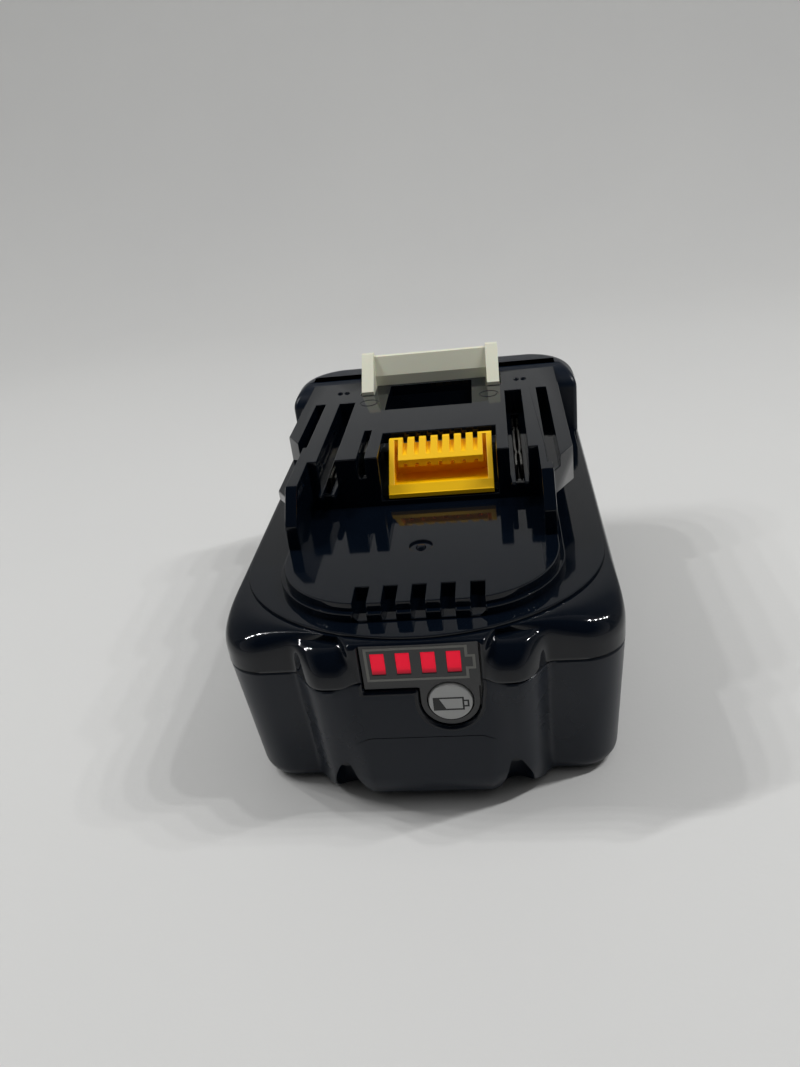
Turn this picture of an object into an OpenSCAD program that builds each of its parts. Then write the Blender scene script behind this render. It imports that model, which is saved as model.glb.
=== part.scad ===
// Slide-on battery pack for cordless tools: a two-part case, a rail block with terminals, a sprung latch,
// a charge gauge with its check button, and ten cells in five pairs.
// Millimetres, +Z up, origin at the middle of the base. The gauge faces -Y and the latch is at +Y.

/* [Cells] */
// Diameter of one wrapped cell
cell_d = 18; // [17:0.1:19]
// Length of one cell over its cap
cell_l = 65; // [60:0.5:70]
// Gap between neighbouring cells
cell_gap = 0.1; // [0.05:0.05:0.4]
// Thickness of a nickel strip
strip_t = 0.3; // [0.2:0.05:0.5]
// Thickness of an insulating sheet
sheet_t = 0.4; // [0.2:0.1:0.8]
// Thickness of a cell frame's back plate
frame_t = 1.6; // [1:0.1:3]

/* [Case] */
// Thickness of the side walls
wall = 2.4; // [1.8:0.1:4]
// Thickness of the floor
floor_t = 1.6; // [1.4:0.1:3]
// Thickness of the roof over the cells
roof_t = 1.5; // [1.3:0.1:2.5]
// Room between the outer cells and each end of the case
end_room = 12.05; // [11.5:0.05:14]
// Thickness of the rear wall
rear_wall = 3.75; // [3:0.05:4.5]
// Height of the line where the two shells part
parting_z = 31.4; // [29:0.1:33]
// Radius of the upright front corners
corner_r = 8; // [6:0.5:10]
// Radius of the upright rear corners
rear_r = 9.5; // [6:0.5:11]
// Radius of the bottom edge
bottom_r = 4; // [2:0.5:5]
// Radius of the bottom edge under the middle panel and the pillars
chin_r = 9; // [6:0.5:11]
// Depth of the half ellipse that ends the raised platform in front
platform_reach = 29.5; // [24:0.5:32]
// Height of the platform above the shoulder
platform_h = 0.6; // [0.4:0.1:1.2]

/* [Front pillars] */
// Distance of each pillar from the middle
pillar_x = 15.8; // [14.5:0.1:18]
// How far a pillar stands out from the side panels
pillar_h = 6.2; // [5.6:0.1:6.8]
// How far the blend of a pillar reaches to each side
pillar_reach = 8; // [7:0.5:10]
// How far the middle panel stands out from the side panels
panel_h = 4.45; // [4:0.05:4.8]

/* [Screws] */
// Diameter of the screw access holes
access_d = 6.7; // [6:0.1:7.2]
// Height at which the screw heads seat
screw_seat_z = 13; // [10:0.5:16]
// Diameter of a screw's shank
shank_d = 3; // [2.5:0.1:3.5]
// Diameter of a screw's head
screw_head_d = 5.5; // [5:0.1:6]
// Depth of the screws in the cover
screw_bite = 4.5; // [3.5:0.5:5]

/* [Rail block] */
// Width over the two wings
rail_w = 63.2; // [60:0.2:66]
// Width of the neck under the wings
neck_w = 54; // [52:0.2:56]
// Length of the deck
deck_l = 51.6; // [46:0.2:56]
// Height of the tongue above the platform
tongue_h = 3.45; // [3:0.05:4.5]
// Height of the deck above the tongue
deck_h = 11.6; // [11:0.1:13]
// Thickness of the wings
wing_t = 7.8; // [6:0.1:8.4]
// Thickness of the deck and of the rail block's walls
deck_t = 2.5; // [2:0.1:3]
// Length of the arms in front of the deck
arm_l = 11.8; // [8:0.2:16]
// Thickness of an arm
arm_t = 2.5; // [1.8:0.1:3]
// Length of the rear block
rear_l = 20.5; // [17:0.5:22]
// Width of a terminal channel
channel_w = 3.9; // [3.4:0.1:4.5]
// Length of a terminal channel
channel_l = 36; // [30:0.5:38]
// Distance from the middle of a terminal channel to the side of the neck
channel_in = 6.45; // [6:0.05:7]
// Width of a wing slot
wing_slot_w = 2.4; // [1.8:0.1:3]
// Width of one vent notch
notch_w = 2.55; // [1.8:0.05:3.2]
// Distance from one vent notch to the next
notch_pitch = 5.35; // [4.6:0.05:6]

/* [Latch] */
// Width over the latch's end plates
latch_w = 35; // [32:0.5:36]
// Length of the latch along the rails
latch_l = 9.6; // [8.6:0.1:10.2]
// Height of the latch above the deck
latch_h = 8; // [6:0.1:10]
// Thickness of an end plate
latch_plate_t = 3.1; // [2.4:0.1:4]
// Travel of the latch
latch_travel = 5; // [3:0.5:6]
// Width of the release button
release_w = 26; // [20:0.5:28]
// Height of the release button
release_h = 9.4; // [8:0.1:11]
// Mean diameter of a latch spring
spring_d = 4.8; // [4.2:0.1:5.4]
// Diameter of the spring wire
spring_wire = 0.7; // [0.5:0.05:0.8]
// Turns in a latch spring
spring_turns = 8; // [5:1:9]

/* [Charge gauge] */
// Width of the gauge panel
lens_w = 21.1; // [19:0.1:21.6]
// Height of the panel's upper part
lens_h = 9.7; // [9:0.1:10.2]
// Thickness of the panel
lens_t = 1.2; // [0.8:0.1:1.6]
// Diameter of the check button
button_d = 8; // [6:0.1:8.6]
// Travel of the check button
button_travel = 0.6; // [0.3:0.1:0.8]
// Width of one red window
led_w = 2.5; // [1.5:0.1:3]
// Height of one red window
led_h = 4.5; // [3:0.1:5]
// Distance from one red window to the next
led_pitch = 4.5; // [3.6:0.1:4.8]

/* [Signal connector] */
// Width of the connector housing
plug_w = 22.8; // [22:0.1:23.2]
// Length of the connector housing
plug_l = 12; // [11.6:0.1:12.4]
// Distance from one contact to the next
pin_pitch = 2.6; // [2.2:0.05:2.65]

/* [Boards] */
// Thickness of the circuit boards
board_t = 1.6; // [1:0.1:2]
// Room at each side of the control board
board_room = 2.1; // [1.1:0.1:3.6]
// Length of the control board
board_l = 33; // [30:0.5:36]
// Thickness of the board tray
tray_t = 1.35; // [1:0.05:2]
// Height of the standoffs on the tray
standoff_h = 2; // [1.6:0.1:2.4]

/* [Hidden] */
columns = 5;
pins = 7;
leds = 4;
notches = 5;
eps = 0.5;
// Clearance between pieces that slide or drop into each other
fit = 0.3;
// Clearance between pieces that lie on each other
rest_gap = 0.05;

// Cells
pitch = cell_d + cell_gap;
cells_y = columns * cell_d + (columns - 1) * cell_gap;
cell_lift = 0.15;
cell_z = floor_t + cell_lift + cell_d / 2;
cells_top = cell_z + pitch + cell_d / 2;
cell_end = cell_l / 2;
sheet_x = cell_end + strip_t;
frame_x = sheet_x + sheet_t;
frame_half_l = cells_y / 2 - 4;
frame_chamfer = 6;
frame_hole_d = 0.42 * cell_d;
post_r = pitch * sqrt(2) / 2 - cell_d / 2 - fit;
post_l = 9;
gap_z = cell_z + pitch / 2;
strip_half_h = cell_d / 3;
strip_end = 1.5;

// Case
inner_w = frame_x + frame_t + fit;
half_w = inner_w + wall;
y_end = cells_y / 2 + end_room;
front_in = -(cells_y / 2 + 2.3);
front_knee = -(cells_y / 2 + 0.8);
front_foot = front_knee + 1.4;
rear_in = y_end - rear_wall;
inner_r = 5;
inner_roof_r = 10;
inner_top = cells_top + 0.4;
shoulder_z = inner_top + roof_t;
platform_z = shoulder_z + platform_h;
tongue_z = platform_z + tongue_h;
deck_z = tongue_z + deck_h;
panel_y = y_end - pillar_h;
lip_inset = 0.3;
side_lean = 0.03;
front_lean = 0.14;
pillar_lean = -0.01;
blend = 1.2;
panel_blend = 4.8;
round_z = shoulder_z - 5.2;
shoulder_half_w = half_w - 1.3;
shoulder_y = panel_y + panel_h - 1;
shoulder_power = 2.6;
panel_round = 1.4;
platform_inset = 0.25;
dome_z = parting_z + 1.1;
dome_h = 6;

// Screws
front_screw_x = pillar_x + 0.3;
front_screw_y = -(y_end - 6.35);
rear_screw_in = [13.5, 6.05];
rear_screw_x = half_w - rear_screw_in[0];
rear_screw_y = y_end - rear_screw_in[1];
screw_places = [for (s = [-1, 1])
    each [[s * front_screw_x, front_screw_y], [s * rear_screw_x, rear_screw_y]]];
boss_r = access_d / 2 + 1.1;
head_h = 2.4;

// Rail block
block_front = y_end - rear_l;
deck_rear = block_front + 5.6;
deck_front = deck_rear - deck_l;
block_z = deck_z + 0.6;
wing_z = deck_z - wing_t;
tongue_front = -(y_end - 9.05);
tongue_r = 18;
ledge = 1;
ledge_z = tongue_z - 1.7;
arm_front = deck_front - arm_l;
arm_foot = arm_front - 5.85;
arm_knee_z = tongue_z + 5.4;
wing_front = deck_front - 1.2;
wing_chamfer = 7.2;
key_front = deck_front + 15.9;
key_z = wing_z + 2.2;
channel_x = neck_w / 2 - channel_in;
channel_z = deck_z - 6;
channel_rear = deck_front + channel_l;
trough_wall = 1.5;
trough_z = channel_z - 1.8;
prong_l = 4.5;
prong_t = 1.5;
clip_slot = 1.7;
wing_slot_x = neck_w / 2 - 0.8;
wing_slot_z = wing_z + 1.3;
wing_slot_rear = channel_rear + 0.4;
wing_slot_floor_z = deck_z - 2.4;
wing_slot_step = deck_front + 10.3;
block_in_w = neck_w / 2 - deck_t + 0.1;
block_in_front = deck_front + 2.2;
block_in_z = deck_z - deck_t - 0.1;
rear_in_z = block_z - 4;
rear_edge_r = 5;
rear_front_ease = 2;
rear_top_r = 13;
notch_rear = tongue_front + 5.8;
duct_front = notch_rear + 1.65;
duct_z = tongue_z - 2.4;
vent_half_w = 10.4;
vent_front = deck_front + 29;
apron_t = 1.25;
sense_in = 7.55;
sense_x = sense_in - channel_x;
sense_slot = 1.6;
sense_slot_z = deck_z - 4.7;
sense_rear = deck_front + 16.2;

// Latch
latch_rear = deck_rear - 0.6;
latch_front = latch_rear - latch_l;
latch_z = block_in_z - 5.3;
latch_top = deck_z + latch_h;
shoe_top = block_in_z - fit;
shoe_front = latch_front + 0.4;
pip_places = [21.7, 23.5];
pip_y = latch_front + 2.4;
pip_d = 1.5;
pip_h = 0.3;
latch_crest = 1.4;
ramp_step = 0.8;
ramp_front = latch_front + 6.5;
ramp_foot_h = 2.5;
vent_rear = ramp_front - fit - apron_t;
latch_arm_w = 20;
latch_arm_t = 2;
skirt_t = 1.2;
skirt_margin = 1.5;
release_chamfer = 1.2;
recess_margin = 2.5;
recess_t = 1.5;
skirt_y = rear_in - fit - skirt_t;
release_top = block_z - 6;
release_z = release_top - release_h;
release_y = y_end - 0.65;
spring_in = 0.5;
spring_x = latch_w / 2 - spring_in;
spring_y = (latch_front + latch_rear) / 2 + 0.3;
spring_top = shoe_top - 1;
spring_bore = spring_d + spring_wire + 0.8;
shoe_half_w = spring_bore / 2 + 0.8;
apron_half_w = spring_x - shoe_half_w - fit;
spring_post_d = spring_d - spring_wire - 0.7;

// Boards
tray_z = cells_top + rest_gap;
tray_top = tray_z + tray_t;
tray_room = 4.1;
tray_half_w = block_in_w - tray_room;
tray_front = block_in_front + 0.3;
tray_rear = latch_rear + 1.3;
board_w = 2 * (block_in_w - board_room);
board_z = tray_top + standoff_h;
board_top = board_z + board_t;
board_front = block_in_front + 1;
board_rear = board_front + board_l;
board_hole_x = board_w / 2 - 7;
board_hole_in = 3;
board_places = [for (x = [-1, 1]) each [[x * board_hole_x, board_front + board_hole_in],
                                        [x * board_hole_x, board_rear - board_hole_in]]];
board_screw_d = 2;
board_head_h = 1;

// Charge gauge
lens_mid = 0.45;
lens_left = lens_mid - lens_w / 2;
lens_top = parting_z + 7.8;
lens_bottom = lens_top - lens_h;
lens_y = -(panel_y + panel_h - 0.75);
lens_back = lens_y + lens_t;
lens_ledge = 0.5;
button_x = 5.2;
button_z = parting_z - 5.1;
tab_r = button_d / 2 + 1.4;
button_hole = button_d + 0.5;
button_out = 0.4;
button_lip_d = button_d + 1.2;
button_lip_y = lens_back + 0.35;
button_lip_t = 0.8;
gauge_board_t = 1.2;
gauge_board_y = front_in - 0.9;
switch_h = 1.8;
stem_h = 0.5;
plunger_y = button_lip_y + button_lip_t;
plunger_d = 2.6;
switch_w = 6;
led_chip = [1.8, 1.4, 3.2];
plunger_end = gauge_board_y - switch_h - stem_h - button_travel - 0.1;
led_x = -0.25;
led_drop = 4.2;
led_z = lens_top - led_drop;
ribbon_t = 0.25;
ribbon_x = 1;
ribbon_w = 7;
ribbon_drop_y = duct_front + 0.3;
ribbon_low_z = cells_top + rest_gap;
ribbon_root = 2.5;

// Signal connector
plug_x = 3.6;
plug_front = deck_front;
plug_rear = plug_front + plug_l;
plug_sill = 1.6;
plug_z = tongue_z + plug_sill;
plug_wall = 1.2;
plug_top = deck_z - 0.7;
plug_base_t = 1;
plug_foot_in = 5;
plug_lip_l = 1.6;
plug_lip_h = 2.6;
plug_lip_face = 0.8;
comb_in = 2.05;
comb_l = 6;
comb_z = plug_top - 4.7;
comb_face = 1.7;
comb_slot_w = 1.05;
comb_slot_l = 3.7;
comb_slot_h = 1.3;
pin_w = 0.6;
pin_room = 0.1;
pin_window = pin_w + 2 * pin_room;
pin_groove = 0.9;
pin_inset = 1;
plug_hole_left = plug_x - plug_w / 2 - 1.5;
plug_hole_right = plug_x + plug_w / 2 + 0.9;
plug_hole_rear = plug_rear + 1.6;

// Terminals
clip_front = block_in_front + 3;
clip_rear = channel_rear - 3;
clip_foot_w = 3.4;
clip_foot_t = 0.6;
clip_top = channel_z - fit;
blade_t = 0.4;
blade_gap = 0.35;
pinch_gap = 0.1;
sense_foot_w = 2.2;
sense_front = block_in_front + 6;
sense_end = sense_rear - 2;
sense_top = deck_z - 2;

// Leads and temperature bead
lead_w = 6;
lead_z = cells_top + rest_gap;
lead_x = board_w / 2 - 1.3;
lead_rail_w = 2.4;
lead_tab_l = 3;
thermistor_x = 6;
bead_r = 1.4;
bead_wire_d = 0.7;
bead_wire_x = 0.6;
bead_hole_d = 3;

// Parts on the control board: width, length and height
transistor = [6.6, 7, 2.3];
transistor_x = board_hole_x - 7;
transistor_in = 2;
chip = [10, 7, 1.2];
chip_in = 11.5;
resistor = [2, 1.2, 1];
resistor_xs = [transistor_x - 1, transistor_x + 2.5];
resistor_ins = [15, 18];

// Shape functions of the case

function clamp01(t) = min(1, max(0, t));
function smooth(t) = let (u = clamp01(t)) u * u * (3 - 2 * u);
function lerp(a, b, t) = a + (b - a) * t;
function smooth_max(a, b, k) = let (h = max(k - abs(a - b), 0) / k) max(a, b) + h * h * k / 4;
function quarter_inset(t) = 1 - sqrt(max(0, 1 - t * t));
function shoulder_inset(t) = 1 - pow(max(0, 1 - pow(clamp01(t), shoulder_power)), 1 / shoulder_power);

// How far an outline of half width w and corner radius r falls back at x
function corner_drop(x, w, r) = abs(x) <= w - r ? 0 : r - sqrt(max(0, r * r - pow(abs(x) - (w - r), 2)));
// Share of the middle panel at x, and of a pillar
function panel_share(x) = 1 - smooth((abs(x) - pillar_x + 4) / 3.2);
function pillar_share(x) = let (t = abs(abs(x) - pillar_x) / pillar_reach) t < 1 ? pow(1 - t * t * t, 2) : 0;

// Places across the front, as shares of the half width
flat_steps = 18;
arc_steps = 8;
flat_share = 1 - corner_r / half_w;
half_shares = concat([for (i = [0:flat_steps]) flat_share * i / flat_steps],
                     [for (i = [1:arc_steps]) 1 - (1 - flat_share) * (1 - sin(90 * i / arc_steps))]);
last_share = len(half_shares) - 1;
shares = concat([for (i = [last_share:-1:1]) -half_shares[i]], half_shares);

// Rear edge of a ring, from the right corner to the left
function rear_points(w, y, r, z) = [for (a = [0:15:180])
    [(a <= 90 ? 1 : -1) * (w - r) + r * cos(a), y - r + r * sin(a), z]];

// Inset of a rounded bottom edge at height z
function edge_inset(z, r) = z < r ? r * quarter_inset(1 - z / r) : 0;

// How far the lower shell's front stands out at x: the middle panel goes over into the pillars without a step
function front_bulge(x, mid, out) =
    abs(x) < pillar_x ? lerp(mid, out, smooth(1 + (abs(x) - pillar_x) / panel_blend)) : out * pillar_share(x);

// Ring of the lower shell at height z: its middle is upright and rounds under further than the rest
function lower_ring(z) =
    let (drop = parting_z - z, lip = z > parting_z - 0.1 ? lip_inset : 0, inset = lip + edge_inset(z, bottom_r),
         chin = edge_inset(z, chin_r) - edge_inset(z, bottom_r), w = half_w - side_lean * drop - inset,
         side = panel_y - front_lean * drop - inset, mid = panel_h + front_lean * drop,
         out = pillar_h + pillar_lean * drop, r = max(1.5, corner_r - inset))
    concat([for (s = shares)
                let (x = s * w, share = abs(x) < pillar_x ? 1 : pillar_share(x))
                [x, corner_drop(x, w, r) - side - front_bulge(x, mid, out) + chin * pow(share, 3), z]],
           rear_points(w, y_end - side_lean * drop - inset, max(2, rear_r - inset), z));

// Ring of the upper shell at height z: the outline goes over into the platform's as the shoulder rounds off
function upper_ring(z) =
    let (inset = z < parting_z + 0.1 ? lip_inset : 0,
         w = lerp(half_w, shoulder_half_w, shoulder_inset((z - round_z) / (shoulder_z - round_z))) - inset,
         dome = z < dome_z ? 1 : sqrt(max(0, 1 - pow((z - dome_z) / dome_h, 2))))
    concat([for (s = shares)
                let (x = s * w, mid = panel_h * panel_share(x),
                     start = lerp(round_z, shoulder_z - panel_round, panel_share(x)),
                     f = shoulder_inset((z - start) / (shoulder_z - start)),
                     low = panel_y + mid - corner_drop(x, w, corner_r),
                     high = shoulder_y - platform_reach * quarter_inset(s),
                     bulge = smooth_max(mid, pillar_h * dome * pillar_share(x), blend) - mid)
                [x, inset - lerp(low, high, f) - bulge, z]],
           rear_points(w, y_end - inset, rear_r, z));

// Solid through a stack of rings with equal counts
module loft(rings) {
    n = len(rings[0]);
    last = (len(rings) - 1) * n;
    sides = [for (k = [0:len(rings) - 2], i = [0:n - 1])
        let (a = k * n + i, b = k * n + (i + 1) % n) each [[a, a + n, b + n], [a, b + n, b]]];
    polyhedron([for (r = rings) each r],
               concat(sides, [[for (i = [0:n - 1]) i]], [[for (i = [n - 1:-1:0]) last + i]]));
}

// Outline of a box with rounded corners, one radius in front and one behind
function box_points(w, y0, y1, r0, r1, n = 8) = concat(
    [for (i = [0:n]) let (a = 180 + 90 * i / n) [r0 - w + r0 * cos(a), y0 + r0 + r0 * sin(a)]],
    [for (i = [0:n]) let (a = 270 + 90 * i / n) [w - r0 + r0 * cos(a), y0 + r0 + r0 * sin(a)]],
    [for (i = [0:n]) let (a = 90 * i / n) [w - r1 + r1 * cos(a), y1 - r1 + r1 * sin(a)]],
    [for (i = [0:n]) let (a = 90 + 90 * i / n) [r1 - w + r1 * cos(a), y1 - r1 + r1 * sin(a)]]);

function box_ring(w, y0, y1, r0, r1, z) = [for (p = box_points(w, y0, y1, r0, r1)) [p[0], p[1], z]];

module round_box(w, y0, y1, z0, z1, r0, r1, n = 8)
    translate([0, 0, z0]) linear_extrude(z1 - z0) polygon(box_points(w, y0, y1, r0, r1, n));

// Box between two corners
module block(low, high) translate(low) cube(high - low);

// Extrusion along X of an outline in Y and Z
module along_x(x0, x1, points)
    translate([x0, 0, 0]) rotate([90, 0, 90]) linear_extrude(x1 - x0) polygon(points);

// Extrusion along Y of a flat shape drawn in X and Z
module along_y(y0, y1) translate([0, y1, 0]) rotate([90, 0, 0]) linear_extrude(y1 - y0) children();

// Round bar along X, Y or Z
module bar_x(x0, x1, y, z, d)
    translate([x0, y, z]) rotate([0, 90, 0]) cylinder(h = x1 - x0, d = d, $fn = 48);
module bar_y(x, y0, y1, z, d)
    translate([x, y0, z]) rotate([-90, 0, 0]) cylinder(h = y1 - y0, d = d, $fn = 48);
module bar_z(x, y, z0, z1, d)
    translate([x, y, z0]) cylinder(h = z1 - z0, d = d, $fn = 48);

// Flat outline of the gauge panel, drawn in X and Z
module lens_shape(grow = 0) {
    translate([lens_left - grow, lens_bottom - grow])
        square([lens_w + 2 * grow, lens_h + 2 * grow]);
    translate([button_x, button_z]) circle(r = tab_r + grow, $fn = 64);
    translate([button_x - tab_r - grow, button_z])
        square([2 * (tab_r + grow), lens_bottom - button_z + 3]);
}

// Recess and opening for the gauge, cut from both shells
module gauge_pocket() {
    along_y(-(y_end + eps), lens_back) lens_shape(fit / 2);
    along_y(lens_back - eps, front_in + eps) lens_shape(-lens_ledge);
}

// Screw holes, cut from both shells
module screw_holes() {
    for (p = screw_places) {
        bar_z(p[0], p[1], -eps, screw_seat_z, access_d);
        bar_z(p[0], p[1], screw_seat_z - eps, parting_z + screw_bite + 1, shank_d + 0.2);
    }
}

// Posts round the rear screws, left standing in the hollow of a shell
module rear_bosses(z0, z1, r)
    for (s = [-1, 1]) bar_z(s * rear_screw_x, rear_screw_y, z0, z1, 2 * r);

// Case

module lower_case() color("#26282b") {
    base_rings = [for (i = [0:4]) bottom_r * (1 - cos(90 * i / 4))];
    chin_rings = [for (i = [1:3]) lerp(bottom_r, chin_r, i / 3)];
    wall_rings = [for (i = [1:2]) lerp(chin_r, parting_z - 0.5, i / 2)];
    difference() {
        loft([for (z = concat(base_rings, chin_rings, wall_rings, [parting_z])) lower_ring(z)]);
        difference() {
            loft([box_ring(inner_w, front_foot, rear_in, inner_r, inner_r, floor_t),
                  box_ring(inner_w, front_knee, rear_in, inner_r, inner_r, cell_z),
                  box_ring(inner_w, front_in, rear_in, inner_r, inner_r, parting_z + eps)]);
            rear_bosses(floor_t - eps, parting_z + 2 * eps, boss_r);
        }
        screw_holes();
        gauge_pocket();
    }
}

module cover_shell() {
    low = [parting_z - 1, parting_z, parting_z + 0.5, (parting_z + round_z) / 2, round_z];
    high = [for (a = [15:15:90]) lerp(round_z, shoulder_z, sin(a))];
    difference() {
        loft([for (z = concat(low, high)) upper_ring(z)]);
        block([-half_w, -y_end, parting_z - 2], [half_w, y_end, parting_z]);
    }
}

module platform() {
    half = shoulder_half_w - platform_inset;
    reach = platform_reach - platform_inset;
    translate([0, 0, shoulder_z - eps]) linear_extrude(platform_h + eps)
        polygon(concat([for (a = [180:5:360]) [half * cos(a), platform_reach - shoulder_y + reach * sin(a)]],
                       [[half, block_front + 2], [-half, block_front + 2]]));
}

module tongue() {
    round_box(neck_w / 2, tongue_front, deck_front + 2, platform_z - eps, tongue_z, tongue_r, 1, 16);
    round_box(neck_w / 2 + ledge, tongue_front - ledge, deck_front + 2, platform_z - eps, ledge_z,
              tongue_r + ledge, 1, 16);
}

// Wing outline in X and Y, full on the right and with its key cut on the left
module wing_shape(front) {
    half = rail_w / 2;
    inner = neck_w / 2 - 1;
    polygon([[inner, deck_rear], [half, deck_rear], [half, front],
             [neck_w / 2, front - wing_chamfer], [inner, front - wing_chamfer]]);
}

module rail_block() {
    block([-neck_w / 2, deck_front, platform_z - eps], [neck_w / 2, deck_rear, deck_z]);
    translate([0, 0, wing_z]) linear_extrude(wing_t) wing_shape(wing_front);
    mirror([1, 0, 0]) {
        translate([0, 0, wing_z]) linear_extrude(wing_t) wing_shape(key_front);
        translate([0, 0, wing_z]) linear_extrude(key_z - wing_z) wing_shape(wing_front);
    }
    for (side = [0, 1]) mirror([side, 0, 0]) {
        along_x(neck_w / 2 - arm_t, neck_w / 2,
                [[deck_front + 1, deck_z], [arm_front, deck_z], [arm_foot, arm_knee_z],
                 [arm_foot, tongue_z - eps], [deck_front + 1, tongue_z - eps]]);
        block([channel_x - channel_w / 2, deck_front - prong_l, channel_z - prong_t],
              [channel_x + channel_w / 2, deck_front + 1, channel_z]);
    }
}

// Ring of the rear block, whose rear corners grow rounder towards the top and whose front edge is eased further
function block_ring(z, inset) =
    let (r = lerp(rear_r - 0.5, rear_top_r, (z - round_z) / (block_z - round_z)))
    box_ring(half_w - 0.5 - inset, block_front + rear_front_ease * inset, y_end - 0.1 - inset, 1, r - inset, z);

module rear_block()
    loft(concat([block_ring(round_z - 0.5, 0)],
                [for (a = [0:15:90])
                    block_ring(block_z - rear_edge_r * (1 - sin(a)), rear_edge_r * (1 - cos(a)))]));

// Hollow of the cover, less the screw posts, the troughs that carry the terminal channels and the apron
// that guides the latch
module cover_hollow() difference() {
    union() {
        loft([box_ring(inner_w, front_in, rear_in, inner_r, inner_r, parting_z - 1),
              box_ring(inner_w, front_in, rear_in, inner_r, inner_r, round_z),
              box_ring(inner_w, front_in, rear_in, inner_roof_r, inner_r, inner_top)]);
        round_box(neck_w / 2 - deck_t, duct_front, block_in_front + 1, inner_top - eps, duct_z,
                  tongue_r - 4, 1);
        round_box(inner_w - 1.6, block_front + 3.2, rear_in, inner_top - eps, rear_in_z, 1, inner_r);
        block([-block_in_w, block_in_front, inner_top - eps], [block_in_w, rear_in - 4, block_in_z]);
    }
    for (side = [0, 1]) mirror([side, 0, 0])
        block([channel_x - channel_w / 2 - trough_wall, block_in_front - 1, trough_z],
              [block_in_w + 1, channel_rear + trough_wall, deck_z]);
    rear_bosses(parting_z - 2, parting_z + screw_bite + 3, boss_r - 0.8);
    block([-apron_half_w, vent_rear, latch_z], [apron_half_w, ramp_front - fit, deck_z]);
}

module deck_cuts() {
    // Terminal channels with the slot for each clip
    for (s = [-1, 1]) {
        block([s * channel_x - channel_w / 2, deck_front - eps, channel_z],
              [s * channel_x + channel_w / 2, channel_rear, deck_z + eps]);
        block([s * channel_x - clip_slot / 2, deck_front - prong_l - eps, trough_z - eps],
              [s * channel_x + clip_slot / 2, channel_rear - 0.6, channel_z + eps]);
    }
    // Wing slots: the left one is deep all the way, the right one has a step
    for (s = [-1, 1]) {
        x = s > 0 ? wing_slot_x : -wing_slot_x - wing_slot_w;
        block([x, s > 0 ? wing_slot_step : key_front - wing_chamfer, wing_slot_z],
              [x + wing_slot_w, wing_slot_rear, deck_z + eps]);
    }
    block([wing_slot_x, wing_front - wing_chamfer, wing_slot_floor_z],
          [wing_slot_x + wing_slot_w, wing_slot_step + eps, deck_z + eps]);
    // Narrow slot on the left
    block([sense_x - sense_slot / 2, deck_front - eps, sense_slot_z],
          [sense_x + sense_slot / 2, sense_rear, deck_z + eps]);
    // Opening for the signal connector
    block([plug_hole_left, deck_front - eps, plug_z - fit], [plug_hole_right, plug_hole_rear, deck_z + eps]);
    // Vent in front of the latch, and the latch's own opening
    block([-vent_half_w, vent_front, block_in_z - eps], [vent_half_w, vent_rear, deck_z + eps]);
    block([-latch_w / 2, ramp_front - fit, block_in_z - eps], [latch_w / 2, latch_rear + fit, block_z + eps]);
    for (side = [0, 1]) mirror([side, 0, 0])
        block([latch_w / 2 - latch_plate_t - fit, latch_front - fit, block_in_z - eps],
              [latch_w / 2 + fit, latch_rear + fit, block_z + eps]);
}

// Moulded pips beside the latch
module pips()
    for (s = [-1, 1], x = pip_places) bar_z(s * x, pip_y, deck_z - pip_h, deck_z + pip_h, pip_d);

module vent_notches()
    for (i = [0:notches - 1]) {
        x = (i - (notches - 1) / 2) * notch_pitch + 0.6;
        block([x - notch_w / 2, tongue_front - ledge - eps, platform_z + 0.4],
              [x + notch_w / 2, notch_rear, tongue_z + eps]);
    }

// Opening in the rear wall for the release button, with a shallow thumb recess
module release_opening() {
    block([-release_w / 2 - fit, rear_in - eps, release_z - latch_travel - fit],
          [release_w / 2 + fit, y_end + eps, release_top + fit]);
    block([-release_w / 2 - recess_margin, y_end - recess_t, release_z - latch_travel - recess_margin],
          [release_w / 2 + recess_margin, y_end + eps, release_top + recess_margin]);
}

module upper_cover() color("#141517") difference() {
    union() {
        cover_shell();
        platform();
        tongue();
        rail_block();
        rear_block();
        pips();
    }
    cover_hollow();
    deck_cuts();
    vent_notches();
    release_opening();
    screw_holes();
    gauge_pocket();
}

// Charge gauge

function led_place(i) = led_x + (i - (leds - 1) / 2) * led_pitch;

module gauge_lens() color("#0c0c0d") difference() {
    along_y(lens_y, lens_back) lens_shape();
    bar_y(button_x, lens_y - eps, lens_back + eps, button_z, button_hole);
    for (i = [0:leds - 1])
        block([led_place(i) - led_w / 2, lens_y - eps, led_z - led_h / 2],
              [led_place(i) + led_w / 2, lens_back + eps, led_z + led_h / 2]);
}

module led_windows() color("#f0203a")
    for (i = [0:leds - 1])
        block([led_place(i) - led_w / 2, lens_y + 0.05, led_z - led_h / 2],
              [led_place(i) + led_w / 2, lens_back, led_z + led_h / 2]);

module check_button() color("#9a9c9c") {
    bar_y(button_x, lens_y - button_out, plunger_y, button_z, button_d);
    bar_y(button_x, button_lip_y, plunger_y, button_z, button_lip_d);
}

module switch_plunger() color("#e8e8e4") bar_y(button_x, plunger_y, plunger_end, button_z, plunger_d);

module check_switch() color("#2f3136") {
    block([button_x - switch_w / 2, gauge_board_y - switch_h, button_z - switch_w / 2],
          [button_x + switch_w / 2, gauge_board_y, button_z + switch_w / 2]);
    bar_y(button_x, gauge_board_y - switch_h - stem_h, gauge_board_y - switch_h / 2, button_z, switch_w / 2);
}

module gauge_board() color("#1f5d3a")
    along_y(gauge_board_y, gauge_board_y + gauge_board_t) lens_shape(-lens_ledge - 0.2);

module gauge_leds() color("#f2e6d8")
    for (i = [0:leds - 1])
        translate([led_place(i) - led_chip[0] / 2, gauge_board_y - led_chip[1], led_z - led_chip[2] / 2])
            cube(led_chip);

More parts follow.
